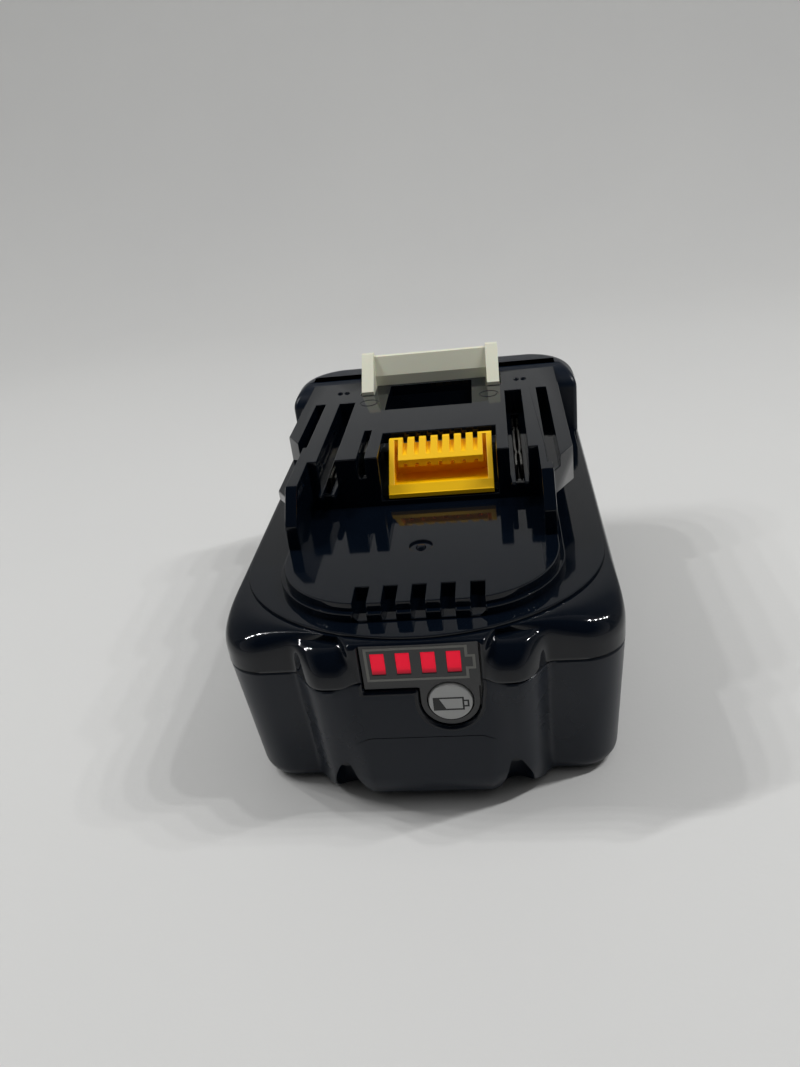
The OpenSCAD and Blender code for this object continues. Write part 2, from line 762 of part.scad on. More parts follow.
module gauge_ribbon() color("#b5651d") {
    x0 = ribbon_x;
    x1 = ribbon_x + ribbon_w;
    t = ribbon_t;
    block([x0, ribbon_drop_y, board_z - t], [x1, board_front + 3, board_z]);
    block([x0, ribbon_drop_y, ribbon_low_z], [x1, ribbon_drop_y + t, board_z - t / 2]);
    block([x0, gauge_board_y + gauge_board_t, ribbon_low_z], [x1, ribbon_drop_y + t, ribbon_low_z + t]);
    block([x0, gauge_board_y + gauge_board_t, ribbon_low_z - ribbon_root],
          [x1, gauge_board_y + gauge_board_t + t, ribbon_low_z + t / 2]);
}

// Latch

module latch_hook() color("#c3c4b2") difference() {
    union() {
        for (side = [0, 1]) mirror([side, 0, 0]) {
            along_x(latch_w / 2 - latch_plate_t, latch_w / 2,
                    [[latch_front, latch_z], [latch_rear, latch_z], [latch_rear, latch_top],
                     [latch_rear - latch_crest, latch_top], [latch_front, deck_z + 0.6]]);
            block([spring_x - shoe_half_w, shoe_front, latch_z],
                  [spring_x + shoe_half_w, latch_rear, shoe_top]);
        }
        along_x(-latch_w / 2 + 1, latch_w / 2 - 1,
                [[ramp_front, latch_z], [latch_rear, latch_z],
                 [latch_rear, latch_top - ramp_step], [latch_rear - latch_crest, latch_top - ramp_step],
                 [ramp_front, deck_z + ramp_foot_h]]);
        block([-latch_arm_w / 2, latch_rear - 1, latch_z], [latch_arm_w / 2, skirt_y, latch_z + latch_arm_t]);
    }
    for (s = [-1, 1]) bar_z(s * spring_x, spring_y, latch_z - eps, spring_top, spring_bore);
}

module release_button() color("#1b1c1e") {
    half = release_w / 2;
    root = skirt_y + skirt_t / 2;
    c = release_chamfer;
    along_x(-half, half, [[root, release_z], [release_y - c, release_z], [release_y, release_z + c],
                          [release_y, release_top - c], [release_y - c, release_top], [root, release_top]]);
    block([-half - skirt_margin, skirt_y, release_z - latch_travel - 2 * fit],
          [half + skirt_margin, skirt_y + skirt_t, release_top + skirt_margin]);
}

// Coil spring as one tube along a helix
module spring(x) {
    rings_per_turn = 8;
    sides = 6;
    rise = spring_top - tray_top - spring_wire;
    count = spring_turns * rings_per_turn;
    points = [for (k = [0:count], j = [0:sides - 1])
        let (a = 360 * k / rings_per_turn, b = 360 * j / sides,
             r = (spring_d + spring_wire * cos(b)) / 2)
        [x + r * cos(a), spring_y + r * sin(a),
         tray_top + spring_wire / 2 + rise * k / count + spring_wire / 2 * sin(b)]];
    skin = [for (k = [0:count - 1], j = [0:sides - 1])
        let (a = k * sides + j, b = k * sides + (j + 1) % sides)
        each [[a, b, b + sides], [a, b + sides, a + sides]]];
    polyhedron(points, concat(skin, [[for (j = [sides - 1:-1:0]) j]],
                              [[for (j = [0:sides - 1]) count * sides + j]]));
}

module latch_spring_left() color("#a8abb0") spring(-spring_x);
module latch_spring_right() color("#a8abb0") spring(spring_x);

// Terminals and signal connector

// Pair of bent blades on a foot, which grips a flat contact from both sides
module blade_clip(x) {
    bend = (clip_rear - clip_front) / 4;
    pinch = 0.3 * bend;
    block([x - clip_foot_w / 2, clip_front, board_top],
          [x + clip_foot_w / 2, clip_rear, board_top + clip_foot_t]);
    for (s = [-1, 1]) {
        line = [[clip_front, blade_gap], [clip_front + bend - pinch, blade_gap],
                [clip_front + bend, pinch_gap], [clip_front + bend + pinch, blade_gap],
                [clip_rear - bend - pinch, blade_gap], [clip_rear - bend, pinch_gap],
                [clip_rear - bend + pinch, blade_gap], [clip_rear, blade_gap]];
        outline = concat([for (p = line) [x + s * p[1], p[0]]],
                         [for (i = [len(line) - 1:-1:0]) [x + s * (line[i][1] + blade_t), line[i][0]]]);
        translate([0, 0, board_top + clip_foot_t / 2]) linear_extrude(clip_top - board_top - clip_foot_t / 2)
            polygon(outline);
    }
}

module terminal_positive() color("#c9a24a") blade_clip(-channel_x);
module terminal_negative() color("#c9a24a") blade_clip(channel_x);

module sense_terminal() color("#c9a24a") {
    block([sense_x - sense_foot_w / 2, sense_front, board_top],
          [sense_x + sense_foot_w / 2, sense_end, board_top + clip_foot_t]);
    block([sense_x - blade_t, sense_front, board_top], [sense_x + blade_t, sense_end, sense_top]);
}

function pin_place(i) = plug_x + (i - (pins - 1) / 2) * pin_pitch;

// Housing with sloping sides, a lip in front and a comb of slots over its contact windows
module signal_connector() color("#ffc800") {
    left = plug_x - plug_w / 2;
    right = plug_x + plug_w / 2;
    comb_front = plug_rear - comb_l;
    difference() {
        union() {
            block([left, plug_front, plug_z], [right, plug_rear, plug_z + plug_base_t]);
            for (x = [left, right - plug_wall])
                along_x(x, x + plug_wall,
                        [[plug_front, plug_z], [plug_rear, plug_z], [plug_rear, plug_top],
                         [plug_rear - plug_wall, plug_top], [plug_front, plug_z + plug_lip_face]]);
            block([left, plug_rear - plug_wall, plug_z], [right, plug_rear, plug_top]);
            along_x(left + comb_in, right - comb_in,
                    [[comb_front, comb_z], [plug_rear, comb_z], [plug_rear, plug_top],
                     [plug_rear - plug_wall, plug_top], [comb_front, comb_z + comb_face]]);
            along_x(left, right,
                    [[plug_front, plug_z], [plug_front + plug_lip_l, plug_z],
                     [plug_front + plug_lip_l, plug_z + plug_lip_h], [plug_front, plug_z + plug_lip_face]]);
            block([left + plug_foot_in, board_front + 1, board_top],
                  [right - plug_foot_in, plug_rear, plug_z + plug_base_t / 2]);
        }
        for (i = [0:pins - 1]) {
            comb_slot(pin_place(i));
            block([pin_place(i) - pin_window / 2, comb_front - eps, comb_z - eps],
                  [pin_place(i) + pin_window / 2, plug_rear + eps, comb_z + pin_window]);
            block([pin_place(i) - pin_window / 2, plug_rear - pin_groove, board_top - eps],
                  [pin_place(i) + pin_window / 2, plug_rear + eps, comb_z + pin_window]);
        }
    }
}

// Slot in the comb's sloping top, open at the rear
module comb_slot(x) {
    slope = (plug_top - comb_z - comb_face) / (comb_l - plug_wall);
    front = plug_rear - comb_slot_l - plug_wall;
    front_z = plug_top - comb_slot_l * slope;
    along_x(x - comb_slot_w / 2, x + comb_slot_w / 2,
            [[front, front_z], [plug_rear + eps, plug_top - comb_slot_h], [plug_rear + eps, plug_top + eps],
             [front, plug_top + eps]]);
}

// Bent contacts: a tail down the back of the housing and a finger forward to each window
module signal_pins() color("#d8b65c")
    for (i = [0:pins - 1]) {
        block([pin_place(i) - pin_w / 2, plug_rear - pin_w, board_top],
              [pin_place(i) + pin_w / 2, plug_rear, comb_z + pin_w]);
        block([pin_place(i) - pin_w / 2, plug_rear - comb_l + pin_inset, comb_z],
              [pin_place(i) + pin_w / 2, plug_rear, comb_z + pin_w]);
    }

// Boards

module control_board() color("#1f5d3a") difference() {
    block([-board_w / 2, board_front, board_z], [board_w / 2, board_rear, board_top]);
    for (p = board_places) bar_z(p[0], p[1], board_z - eps, board_top + eps, board_screw_d + 0.3);
}

module board_components() color("#1d1f22") {
    for (s = [-1, 1])
        translate([s * transistor_x - transistor[0] / 2,
                   board_rear - transistor_in - transistor[1], board_top])
            cube(transistor);
    translate([-chip[0] / 2, board_rear - chip_in - chip[1], board_top]) cube(chip);
    for (x = resistor_xs, y = resistor_ins) translate([x, board_rear - y, board_top]) cube(resistor);
}

module board_screws() color("#c6c9cd")
    for (p = board_places) {
        bar_z(p[0], p[1], board_top, board_top + board_head_h, 2 * board_screw_d);
        bar_z(p[0], p[1], tray_top + 0.4, board_top + 0.2, board_screw_d);
    }

module board_tray() color("#3a3d42") difference() {
    union() {
        block([-tray_half_w, tray_front, tray_z], [tray_half_w, tray_rear, tray_top]);
        for (p = board_places) bar_z(p[0], p[1], tray_z + 0.5, board_z, 2 * board_screw_d + 0.6);
        for (s = [-1, 1]) bar_z(s * spring_x, spring_y, tray_z + 0.5, tray_top + 3.3, spring_post_d);
    }
    for (p = board_places) bar_z(p[0], p[1], tray_top + 0.3, board_z + eps, board_screw_d + 0.1);
    bar_z(thermistor_x, pitch / 2, tray_z - eps, tray_top + eps, bead_hole_d);
}

// Cells and their holders

module cell(index) {
    column = index % columns;
    layer = floor(index / columns);
    facing = column % 2 == 0 ? 90 : -90;
    translate([0, (column - (columns - 1) / 2) * pitch, cell_z + layer * pitch]) rotate([0, facing, 0])
        translate([0, 0, -cell_l / 2]) rotate_extrude($fn = 64)
            polygon([[0, 0], [cell_d / 2 - 0.5, 0], [cell_d / 2, 0.5], [cell_d / 2, cell_l - 3.8],
                     [cell_d / 2 - 0.6, cell_l - 3.3], [cell_d / 2, cell_l - 2.8], [cell_d / 2, cell_l - 1.1],
                     [cell_d / 2 - 0.5, cell_l - 0.6], [cell_d / 4, cell_l - 0.6],
                     [cell_d / 4, cell_l], [0, cell_l]]);
}

module cell_01() color("#3f7fbf") cell(0);
module cell_02() color("#3f7fbf") cell(1);
module cell_03() color("#3f7fbf") cell(2);
module cell_04() color("#3f7fbf") cell(3);
module cell_05() color("#3f7fbf") cell(4);
module cell_06() color("#3f7fbf") cell(5);
module cell_07() color("#3f7fbf") cell(6);
module cell_08() color("#3f7fbf") cell(7);
module cell_09() color("#3f7fbf") cell(8);
module cell_10() color("#3f7fbf") cell(9);

// Places between four neighbouring cells, where the frames' posts go
function gap_y(i) = (i - (columns - 2) / 2) * pitch;

module posts(x0, x1, r)
    for (i = [0:columns - 2]) bar_x(x0, x1, gap_y(i), gap_z, 2 * r);

// Plate beside the cell ends, with its four corners cut off to clear the case's corners
module end_plate(x0, x1) {
    y = frame_half_l;
    c = frame_chamfer;
    low = floor_t + fit;
    high = cells_top;
    along_x(x0, x1, [[c - y, low], [y - c, low], [y, low + c], [y, high - c],
                     [y - c, high], [c - y, high], [-y, high - c], [-y, low + c]]);
}

module cell_frame(s) {
    mirror([s > 0 ? 0 : 1, 0, 0]) difference() {
        union() {
            end_plate(frame_x, frame_x + frame_t);
            posts(frame_x - post_l, frame_x + frame_t / 2, post_r);
        }
        for (i = [0:columns - 1], z = [0, 1])
            bar_x(frame_x - eps, frame_x + frame_t + eps, (i - (columns - 1) / 2) * pitch,
                  cell_z + z * pitch, frame_hole_d);
    }
}

module cell_frame_left() color("#55585d") cell_frame(-1);
module cell_frame_right() color("#55585d") cell_frame(1);

// Nickel strip over a run of columns at one end of the cells
module bus_plate(s, first, last) {
    y0 = (first - columns / 2) * pitch + strip_end;
    y1 = (last + 1 - columns / 2) * pitch - strip_end;
    mirror([s > 0 ? 0 : 1, 0, 0]) difference() {
        block([cell_end, y0, cell_z - strip_half_h], [sheet_x, y1, cell_z + pitch + strip_half_h]);
        posts(cell_end - eps, sheet_x + eps, post_r + fit);
    }
}

module bus_plate_1() color("#d3d5d2") bus_plate(1, 0, 0);
module bus_plate_2() color("#d3d5d2") bus_plate(1, 1, 2);
module bus_plate_3() color("#d3d5d2") bus_plate(1, 3, 4);
module bus_plate_4() color("#d3d5d2") bus_plate(-1, 0, 1);
module bus_plate_5() color("#d3d5d2") bus_plate(-1, 2, 3);
module bus_plate_6() color("#d3d5d2") bus_plate(-1, 4, 4);

module insulator(s)
    mirror([s > 0 ? 0 : 1, 0, 0]) difference() {
        end_plate(sheet_x, frame_x);
        posts(sheet_x - eps, frame_x + eps, post_r + fit);
    }

module insulator_left() color("#7a8f6a") insulator(-1);
module insulator_right() color("#7a8f6a") insulator(1);

// Flat lead from an end strip, over the cells and up to the board
module lead(column, board_y) {
    y = (column - (columns - 1) / 2) * pitch;
    front = min(y - lead_w / 2, board_y);
    rear = max(y + lead_w / 2, board_y + lead_tab_l);
    top = lead_z + strip_t;
    block([cell_end, y - lead_w / 2, cell_z + pitch + strip_half_h], [sheet_x, y + lead_w / 2, top]);
    block([lead_x, y - lead_w / 2, lead_z], [cell_end + strip_t / 2, y + lead_w / 2, top]);
    block([lead_x, front, lead_z], [lead_x + lead_rail_w, rear, top]);
    block([lead_x, board_y, lead_z], [lead_x + strip_t, board_y + lead_tab_l, board_z]);
}

module lead_negative() color("#d3d5d2") lead(0, board_front + 1);
module lead_positive() color("#d3d5d2") mirror([1, 0, 0]) lead(columns - 1, board_rear - 4);

// Temperature bead in the groove between two cells, with its wires up to the board
module thermistor() color("#2a2a2c") {
    z = cell_z + pitch + sqrt(pow(cell_d / 2 + bead_r + 2 * rest_gap, 2) - pow(pitch / 2, 2));
    translate([thermistor_x, pitch / 2, z]) sphere(r = bead_r, $fn = 32);
    for (s = [-1, 1]) bar_z(thermistor_x + bead_wire_x * s, pitch / 2, z, board_z, bead_wire_d);
}

module case_screws() color("#6d7176")
    for (p = screw_places) {
        bar_z(p[0], p[1], screw_seat_z - head_h, screw_seat_z, screw_head_d);
        bar_z(p[0], p[1], screw_seat_z - 0.5, parting_z + screw_bite, shank_d);
    }

lower_case();
upper_cover();
gauge_lens();
led_windows();
check_button();
switch_plunger();
check_switch();
gauge_board();
gauge_leds();
gauge_ribbon();
latch_hook();
release_button();
latch_spring_left();
latch_spring_right();
terminal_positive();
terminal_negative();
sense_terminal();
signal_connector();
signal_pins();
control_board();
board_components();
board_screws();
board_tray();
cell_01();
cell_02();
cell_03();
cell_04();
cell_05();
cell_06();
cell_07();
cell_08();
cell_09();
cell_10();
cell_frame_left();
cell_frame_right();
bus_plate_1();
bus_plate_2();
bus_plate_3();
bus_plate_4();
bus_plate_5();
bus_plate_6();
insulator_left();
insulator_right();
lead_positive();
lead_negative();
thermistor();
case_screws();
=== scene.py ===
"""Looks of a slide-on battery pack for cordless tools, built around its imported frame.

Lengths in this script are millimetres unless a name says otherwise, in the frame's own axes: +Z up, origin at
the middle of the base, the charge gauge facing -Y and the latch at +Y. Meshes are scaled to metres when a piece
is finished.
"""

import logging
import math
from collections.abc import Callable, Iterable, Sequence
from dataclasses import dataclass, field
from enum import Enum
from typing import Any

import bmesh
import bpy
from mathutils import Matrix, Vector


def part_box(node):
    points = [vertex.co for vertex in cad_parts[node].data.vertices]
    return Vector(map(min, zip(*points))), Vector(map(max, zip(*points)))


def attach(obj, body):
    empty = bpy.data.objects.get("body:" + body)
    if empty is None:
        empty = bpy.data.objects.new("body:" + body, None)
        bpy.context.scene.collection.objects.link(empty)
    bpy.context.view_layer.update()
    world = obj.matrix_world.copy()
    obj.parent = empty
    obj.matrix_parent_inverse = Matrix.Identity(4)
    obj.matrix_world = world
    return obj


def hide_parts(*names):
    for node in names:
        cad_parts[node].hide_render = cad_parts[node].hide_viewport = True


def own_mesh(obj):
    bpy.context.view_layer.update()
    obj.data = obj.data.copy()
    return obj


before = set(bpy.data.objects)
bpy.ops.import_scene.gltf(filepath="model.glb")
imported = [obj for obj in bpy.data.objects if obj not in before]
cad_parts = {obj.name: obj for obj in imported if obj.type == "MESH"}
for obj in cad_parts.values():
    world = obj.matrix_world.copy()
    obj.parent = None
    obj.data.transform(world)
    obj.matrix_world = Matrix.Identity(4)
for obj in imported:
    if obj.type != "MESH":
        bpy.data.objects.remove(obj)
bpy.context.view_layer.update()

MM = 0.001
PAST = 1.0  # how far a cutting tool runs past the face that it opens
LAP = 0.5  # how far a solid or a tool reaches into its neighbour
WELD = 0.002  # points closer than this are one
FLAT_ANGLE = 0.5  # degrees below which neighbouring faces are one
EDGE_ANGLE = 40.0  # degrees from which an outward edge is rounded
EDGE_STEPS = 2  # facets across a rounded edge
CREASE = 32.0  # degrees from which an edge stays sharp in shading
BAR_STEPS = 48  # sides of a round bar
NOISE_SPAN = (0.3, 0.7)  # where most of a noise pattern's values lie
SIDES = (-1, 1)  # left and right
LOG = logging.getLogger("battery_pack")

Flat = tuple[float, float]
Point = tuple[float, float, float]
Ring = list[Point]
Solid = bpy.types.Object
Tree = bpy.types.NodeTree
Node = bpy.types.Node
Socket = bpy.types.NodeSocket


class Axis(Enum):
    """Direction along which an outline is drawn out; the value gives the places of (u, v, length)."""

    X = (1, 2, 0)
    Y = (0, 2, 1)
    Z = (0, 1, 2)


class Carving(Enum):
    """What a tool does to the stock that it is held against."""

    JOIN = "UNION"
    CUT = "DIFFERENCE"


class Skin(Enum):
    """Surface of the cover's mould at a face; the value is the material's place on the piece."""

    SATIN = 0
    GLOSS = 1


# Shape functions


def clamp01(value: float) -> float:
    """Hold a number between 0 and 1."""
    return min(1.0, max(0.0, value))


def smooth(value: float) -> float:
    """Ease from 0 to 1 with level ends."""
    t = clamp01(value)
    return t * t * (3 - 2 * t)


def lerp(start: float, end: float, share: float) -> float:
    """Go from start to end by a share."""
    return start + (end - start) * share


def smooth_max(a: float, b: float, reach: float) -> float:
    """Give the larger of two numbers, rounded off where they come within reach of each other."""
    near = max(reach - abs(a - b), 0.0) / reach
    return max(a, b) + near * near * reach / 4


def quarter_inset(t: float) -> float:
    """Inset of a quarter circle of radius 1 at t of its height."""
    return 1 - math.sqrt(max(0.0, 1 - t * t))


def corner_drop(x: float, half: float, radius: float) -> float:
    """How far an outline of a half width and corner radius falls back at x."""
    past = abs(x) - (half - radius)
    return 0.0 if past <= 0 else radius - math.sqrt(max(0.0, radius * radius - past * past))


def even_steps(start: float, end: float, steps: int) -> list[float]:
    """Numbers at even steps from start to end, both included."""
    return [lerp(start, end, i / steps) for i in range(steps + 1)]


def quarter_turns(steps: int) -> list[float]:
    """Angles at even steps from 0 to a right angle, in radians."""
    return [math.pi / 2 * i / steps for i in range(steps + 1)]


def arc(centre: Flat, radius: float, start: float, end: float, steps: int) -> list[Flat]:
    """Points on an arc.

    Args:
        centre: Middle of the arc.
        radius: Radius of the arc.
        start: First angle in degrees.
        end: Last angle in degrees.
        steps: Number of chords.

    Returns:
        The points, both ends included.
    """
    angles = map(math.radians, even_steps(start, end, steps))
    return [(centre[0] + radius * math.cos(a), centre[1] + radius * math.sin(a)) for a in angles]


def circle(centre: Flat, radius: float, steps: int) -> list[Flat]:
    """Points once round a circle."""
    return arc(centre, radius, 0, 360, steps)[:-1]


def at_height(outline: Iterable[Flat], z: float) -> Ring:
    """Lay a flat outline level at a height."""
    return [(x, y, z) for x, y in outline]


def box_outline(low: Flat, high: Flat) -> list[Flat]:
    """Outline of a plain rectangle between two corners."""
    return [low, (high[0], low[1]), high, (low[0], high[1])]


def round_outline(low: Flat, high: Flat, radii: Sequence[float], steps: int = 10) -> list[Flat]:
    """Outline of a rectangle with rounded corners.

    Args:
        low: Lower left corner.
        high: Upper right corner.
        radii: Radius of the lower left, lower right, upper right and upper left corner.
        steps: Chords in a corner.

    Returns:
        The points, turning left.
    """
    a, b, c, d = radii
    return [
        *arc((low[0] + a, low[1] + a), a, 180, 270, steps),
        *arc((high[0] - b, low[1] + b), b, 270, 360, steps),
        *arc((high[0] - c, high[1] - c), c, 0, 90, steps),
        *arc((low[0] + d, high[1] - d), d, 90, 180, steps),
    ]


# Mesh tools


def new_object(name: str, shape: bmesh.types.BMesh) -> Solid:
    """Turn a bmesh into an object with outward faces, and free the bmesh."""
    bmesh.ops.recalc_face_normals(shape, faces=shape.faces[:])
    mesh = bpy.data.meshes.new(name)
    shape.to_mesh(mesh)
    shape.free()
    for _ in Skin:
        mesh.materials.append(None)
    made = bpy.data.objects.new(name, mesh)
    bpy.context.scene.collection.objects.link(made)
    return made


def loft(rings: Sequence[Ring], skin: Skin = Skin.SATIN) -> Solid:
    """Closed solid through a stack of rings with equal counts.

    Args:
        rings: The rings, from one end to the other.
        skin: Mould surface of all its faces.

    Returns:
        The solid as an object.
    """
    shape = bmesh.new()
    loops = [[shape.verts.new(point) for point in ring] for ring in rings]
    count = len(loops[0])
    for low, high in zip(loops, loops[1:]):
        for i in range(count):
            j = (i + 1) % count
            shape.faces.new((low[i], low[j], high[j], high[i]))
    shape.faces.new(loops[0][::-1])
    shape.faces.new(loops[-1])
    for face in shape.faces:
        face.material_index = skin.value
    return new_object("loft", shape)


def prism(axis: Axis, outline: Sequence[Flat], start: float, end: float, skin: Skin = Skin.GLOSS) -> Solid:
    """Solid drawn out of a flat outline.

    Args:
        axis: Direction of the draw.
        outline: Points in the plane across that direction.
        start: Where the solid starts.
        end: Where it ends.
        skin: Mould surface of all its faces.

    Returns:
        The solid as an object.
    """
    u, v, along = axis.value

    def place(point: Flat, length: float) -> Point:
        """Put a flat point into space."""
        spot = [0.0, 0.0, 0.0]
        spot[u], spot[v], spot[along] = point[0], point[1], length
        return tuple(spot)

    return loft([[place(p, length) for p in outline] for length in (start, end)], skin)


def block(low: Point, high: Point, skin: Skin = Skin.GLOSS) -> Solid:
    """Box between two corners."""
    return prism(Axis.Z, box_outline(low[:2], high[:2]), low[2], high[2], skin)


def slab(middle: float, half: float, y: Flat, z: Flat, skin: Skin = Skin.GLOSS) -> Solid:
    """Box of a half width about a middle in X, between two places in Y and in Z."""
    return block((middle - half, y[0], z[0]), (middle + half, y[1], z[1]), skin)


def bar(centre: Flat, start: float, end: float, diameter: float, skin: Skin = Skin.GLOSS) -> Solid:
    """Upright round bar."""
    return prism(Axis.Z, circle(centre, diameter / 2, BAR_STEPS), start, end, skin)


def flip_x(outline: Iterable[Flat]) -> list[Flat]:
    """Mirror a flat outline in X."""
    return [(-x, y) for x, y in outline]


def carve(base: Solid, tools: Sequence[Solid], way: Carving) -> Solid:
    """Hold tools against a solid one after the other, and use them up.

    Args:
        base: The solid.
        tools: Closed solids.
        way: What each tool does.

    Returns:
        The solid, with its new mesh.
    """
    for tool in tools:
        step = base.modifiers.new("carve", "BOOLEAN")
        step.operation, step.solver, step.object = way.value, "MANIFOLD", tool
        step.material_mode = "INDEX"
    graph = bpy.context.evaluated_depsgraph_get()
    mesh = bpy.data.meshes.new_from_object(base.evaluated_get(graph))
    base.modifiers.clear()
    base.data = mesh
    for tool in tools:
        bpy.data.objects.remove(tool)
    return base


def ease_edges(piece: Solid, width: float, wanted: Callable[[Vector], bool]) -> None:
    """Round the outward edges of a solid, as the cutter of a mould leaves them.

    Args:
        piece: The solid.
        width: Width of the rounding.
        wanted: Tells by an edge's middle whether it is rounded.
    """
    shape = bmesh.new()
    shape.from_mesh(piece.data)
    bmesh.ops.remove_doubles(shape, verts=shape.verts[:], dist=WELD)
    bmesh.ops.dissolve_degenerate(shape, edges=shape.edges[:], dist=WELD)
    least = math.radians(EDGE_ANGLE)
    edges = [
        edge
        for edge in shape.edges
        if edge.is_manifold
        and edge.is_convex
        and edge.calc_face_angle(0) > least
        and wanted((edge.verts[0].co + edge.verts[1].co) / 2)
    ]
    bmesh.ops.bevel(
        shape, geom=edges, offset=width, offset_type="OFFSET", segments=EDGE_STEPS, profile=0.5,
        affect="EDGES", clamp_overlap=False, material=-1, loop_slide=True,
    )
    shape.to_mesh(piece.data)
    shape.free()


def finish_piece(
    piece: Solid,
    name: str,
    body: str,
    finishes: Sequence["Finish"],
    nodes: Sequence[str] = (),
) -> Solid:
    """Scale a solid to metres, shade and dress it, and hang it on its body.

    Args:
        piece: The solid, in millimetres.
        name: Name of the piece.
        body: Body that it rides on.
        finishes: Its materials, in the order of its faces' material places.
        nodes: Nodes that it stands for.

    Returns:
        The piece.
    """
    piece.name = piece.data.name = name
    piece.data.transform(Matrix.Scale(MM, 4))
    piece.data.polygons.foreach_set("use_smooth", [True] * len(piece.data.polygons))
    piece.data.set_sharp_from_angle(angle=math.radians(CREASE))
    normals = piece.modifiers.new("flat faces stay flat", "WEIGHTED_NORMAL")
    normals.keep_sharp = True
    for index, finish in enumerate(finishes):
        piece.data.materials[index] = finish.material()
    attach(piece, body)
    if nodes:
        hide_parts(*nodes)
    LOG.info("%s: %d faces on %s", name, len(piece.data.polygons), body)
    return piece


def dress(name: str, finish: "Finish") -> None:
    """Give a frame node its material."""
    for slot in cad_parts[name].material_slots:
        slot.material = finish.material()
    LOG.info("%s: %s", name, finish.name)


def soften_node(name: str, width: float) -> None:
    """Round the edges of a frame node with modifiers, which leave its mesh as it is."""
    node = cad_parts[name]
    weld = node.modifiers.new("join faces", "WELD")
    weld.merge_threshold = WELD * MM
    flat = node.modifiers.new("clear flat faces", "DECIMATE")
    flat.decimate_type, flat.angle_limit = "DISSOLVE", math.radians(FLAT_ANGLE)
    round_off = node.modifiers.new("round edges", "BEVEL")
    round_off.width, round_off.segments = width * MM, EDGE_STEPS
    round_off.limit_method, round_off.angle_limit = "ANGLE", math.radians(EDGE_ANGLE)
    normals = node.modifiers.new("flat faces stay flat", "WEIGHTED_NORMAL")
    normals.keep_sharp = True


# Finishes


def linear(code: str) -> tuple[float, float, float, float]:
    """Turn an sRGB hex colour into linear light with full cover."""
    channels = (int(code[i : i + 2], 16) / 255 for i in (1, 3, 5))
    red, green, blue = (c / 12.92 if c <= 0.04045 else ((c + 0.055) / 1.055) ** 2.4 for c in channels)
    return red, green, blue, 1.0


def add(tree: Tree, kind: str, inputs: dict[str | int, Any] | None = None, **settings: Any) -> Node:
    """Add a node with its settings and links.

    Args:
        tree: Tree that takes the node.
        kind: Blender's name of the node's type.
        inputs: Values or output sockets by the name or place of the input.
        **settings: Properties of the node.

    Returns:
        The node.
    """
    node = tree.nodes.new(kind)
    for name, value in settings.items():
        setattr(node, name, value)
    for name, value in (inputs or {}).items():
        if isinstance(value, Socket):
            tree.links.new(value, node.inputs[name])
        else:
            node.inputs[name].default_value = value
    return node


def per_metre(size_mm: float) -> float:
    """Scale of a pattern whose features have a size in millimetres."""
    return 1 / (size_mm * MM)


@dataclass(frozen=True)
class Finish:
    """A real material and how its surface was made."""

    name: str
    colour: str
    roughness: float

    def material(self) -> bpy.types.Material:
        """Give the material, which is made on first use."""
        known = bpy.data.materials.get(self.name)
        return known or self.make()

    def make(self) -> bpy.types.Material:
        """Make the material with an empty tree, its shader and its pattern.

        Returns:
            The material.
        """
        made = bpy.data.materials.new(self.name)
        made.use_nodes = True
        tree = made.node_tree
        tree.nodes.clear()
        look = {"Base Color": linear(self.colour), "Roughness": self.roughness}
        shader = add(tree, "ShaderNodeBsdfPrincipled", look)
        add(tree, "ShaderNodeOutputMaterial", {"Surface": shader.outputs[0]})
        place = add(tree, "ShaderNodeTexCoord").outputs["Object"]
        self.pattern(tree, shader, place)
        return made

    def pattern(self, tree: Tree, shader: Node, place: Socket) -> None:
        """Draw what the surface shows. Each kind of finish has its own."""

    def uneven(
        self, tree: Tree, shader: Node, place: Socket, patch: float, spread: float, shade: str
    ) -> None:
        """Let gloss and colour drift over the surface.

        Args:
            tree: The material's tree.
            shader: Its shader.
            place: Coordinates of the pattern.
            patch: Size of a patch in millimetres.
            spread: How far the roughness goes to each side.
            shade: Colour at the other end of the drift.
        """
        drift = {"Vector": place, "Scale": per_metre(patch), "Detail": 3.0}
        cloud = add(tree, "ShaderNodeTexNoise", drift).outputs[0]
        low, high = NOISE_SPAN
        span = {0: cloud, 1: low, 2: high, 3: self.roughness - spread, 4: self.roughness + spread}
        gloss = add(tree, "ShaderNodeMapRange", span)
        ends = {0: cloud, 6: linear(self.colour), 7: linear(shade)}
        tint = add(tree, "ShaderNodeMix", ends, data_type="RGBA")
        tree.links.new(gloss.outputs[0], shader.inputs["Roughness"])
        tree.links.new(tint.outputs[2], shader.inputs["Base Color"])


@dataclass(frozen=True)
class Moulding(Finish):
    """Moulded plastic: a fine grain from the mould's own surface and a slow drift of gloss."""

    shade: str
    grain: float = 0.3
    depth: float = 0.004
    spread: float = 0.04
    patch: float = 16.0
    ior: float = 1.53
    level: float = 0.5
    through: float = 0.0
    soak: float = 0.5

    def pattern(self, tree: Tree, shader: Node, place: Socket) -> None:
        """Draw the grain and the drift, and set the plastic's gloss."""
        self.uneven(tree, shader, place, self.patch, self.spread, self.shade)
        fine = {"Vector": place, "Scale": per_metre(self.grain), "Detail": 2.0, "Roughness": 0.6}
        grain = add(tree, "ShaderNodeTexNoise", fine).outputs[0]
        bump = add(tree, "ShaderNodeBump", {"Height": grain, "Distance": self.depth * MM, "Strength": 1.0})
        tree.links.new(bump.outputs[0], shader.inputs["Normal"])
        shader.inputs["IOR"].default_value = self.ior
        shader.inputs["Specular IOR Level"].default_value = self.level
        shader.inputs["Subsurface Weight"].default_value = self.through
        shader.inputs["Subsurface Scale"].default_value = self.soak * MM


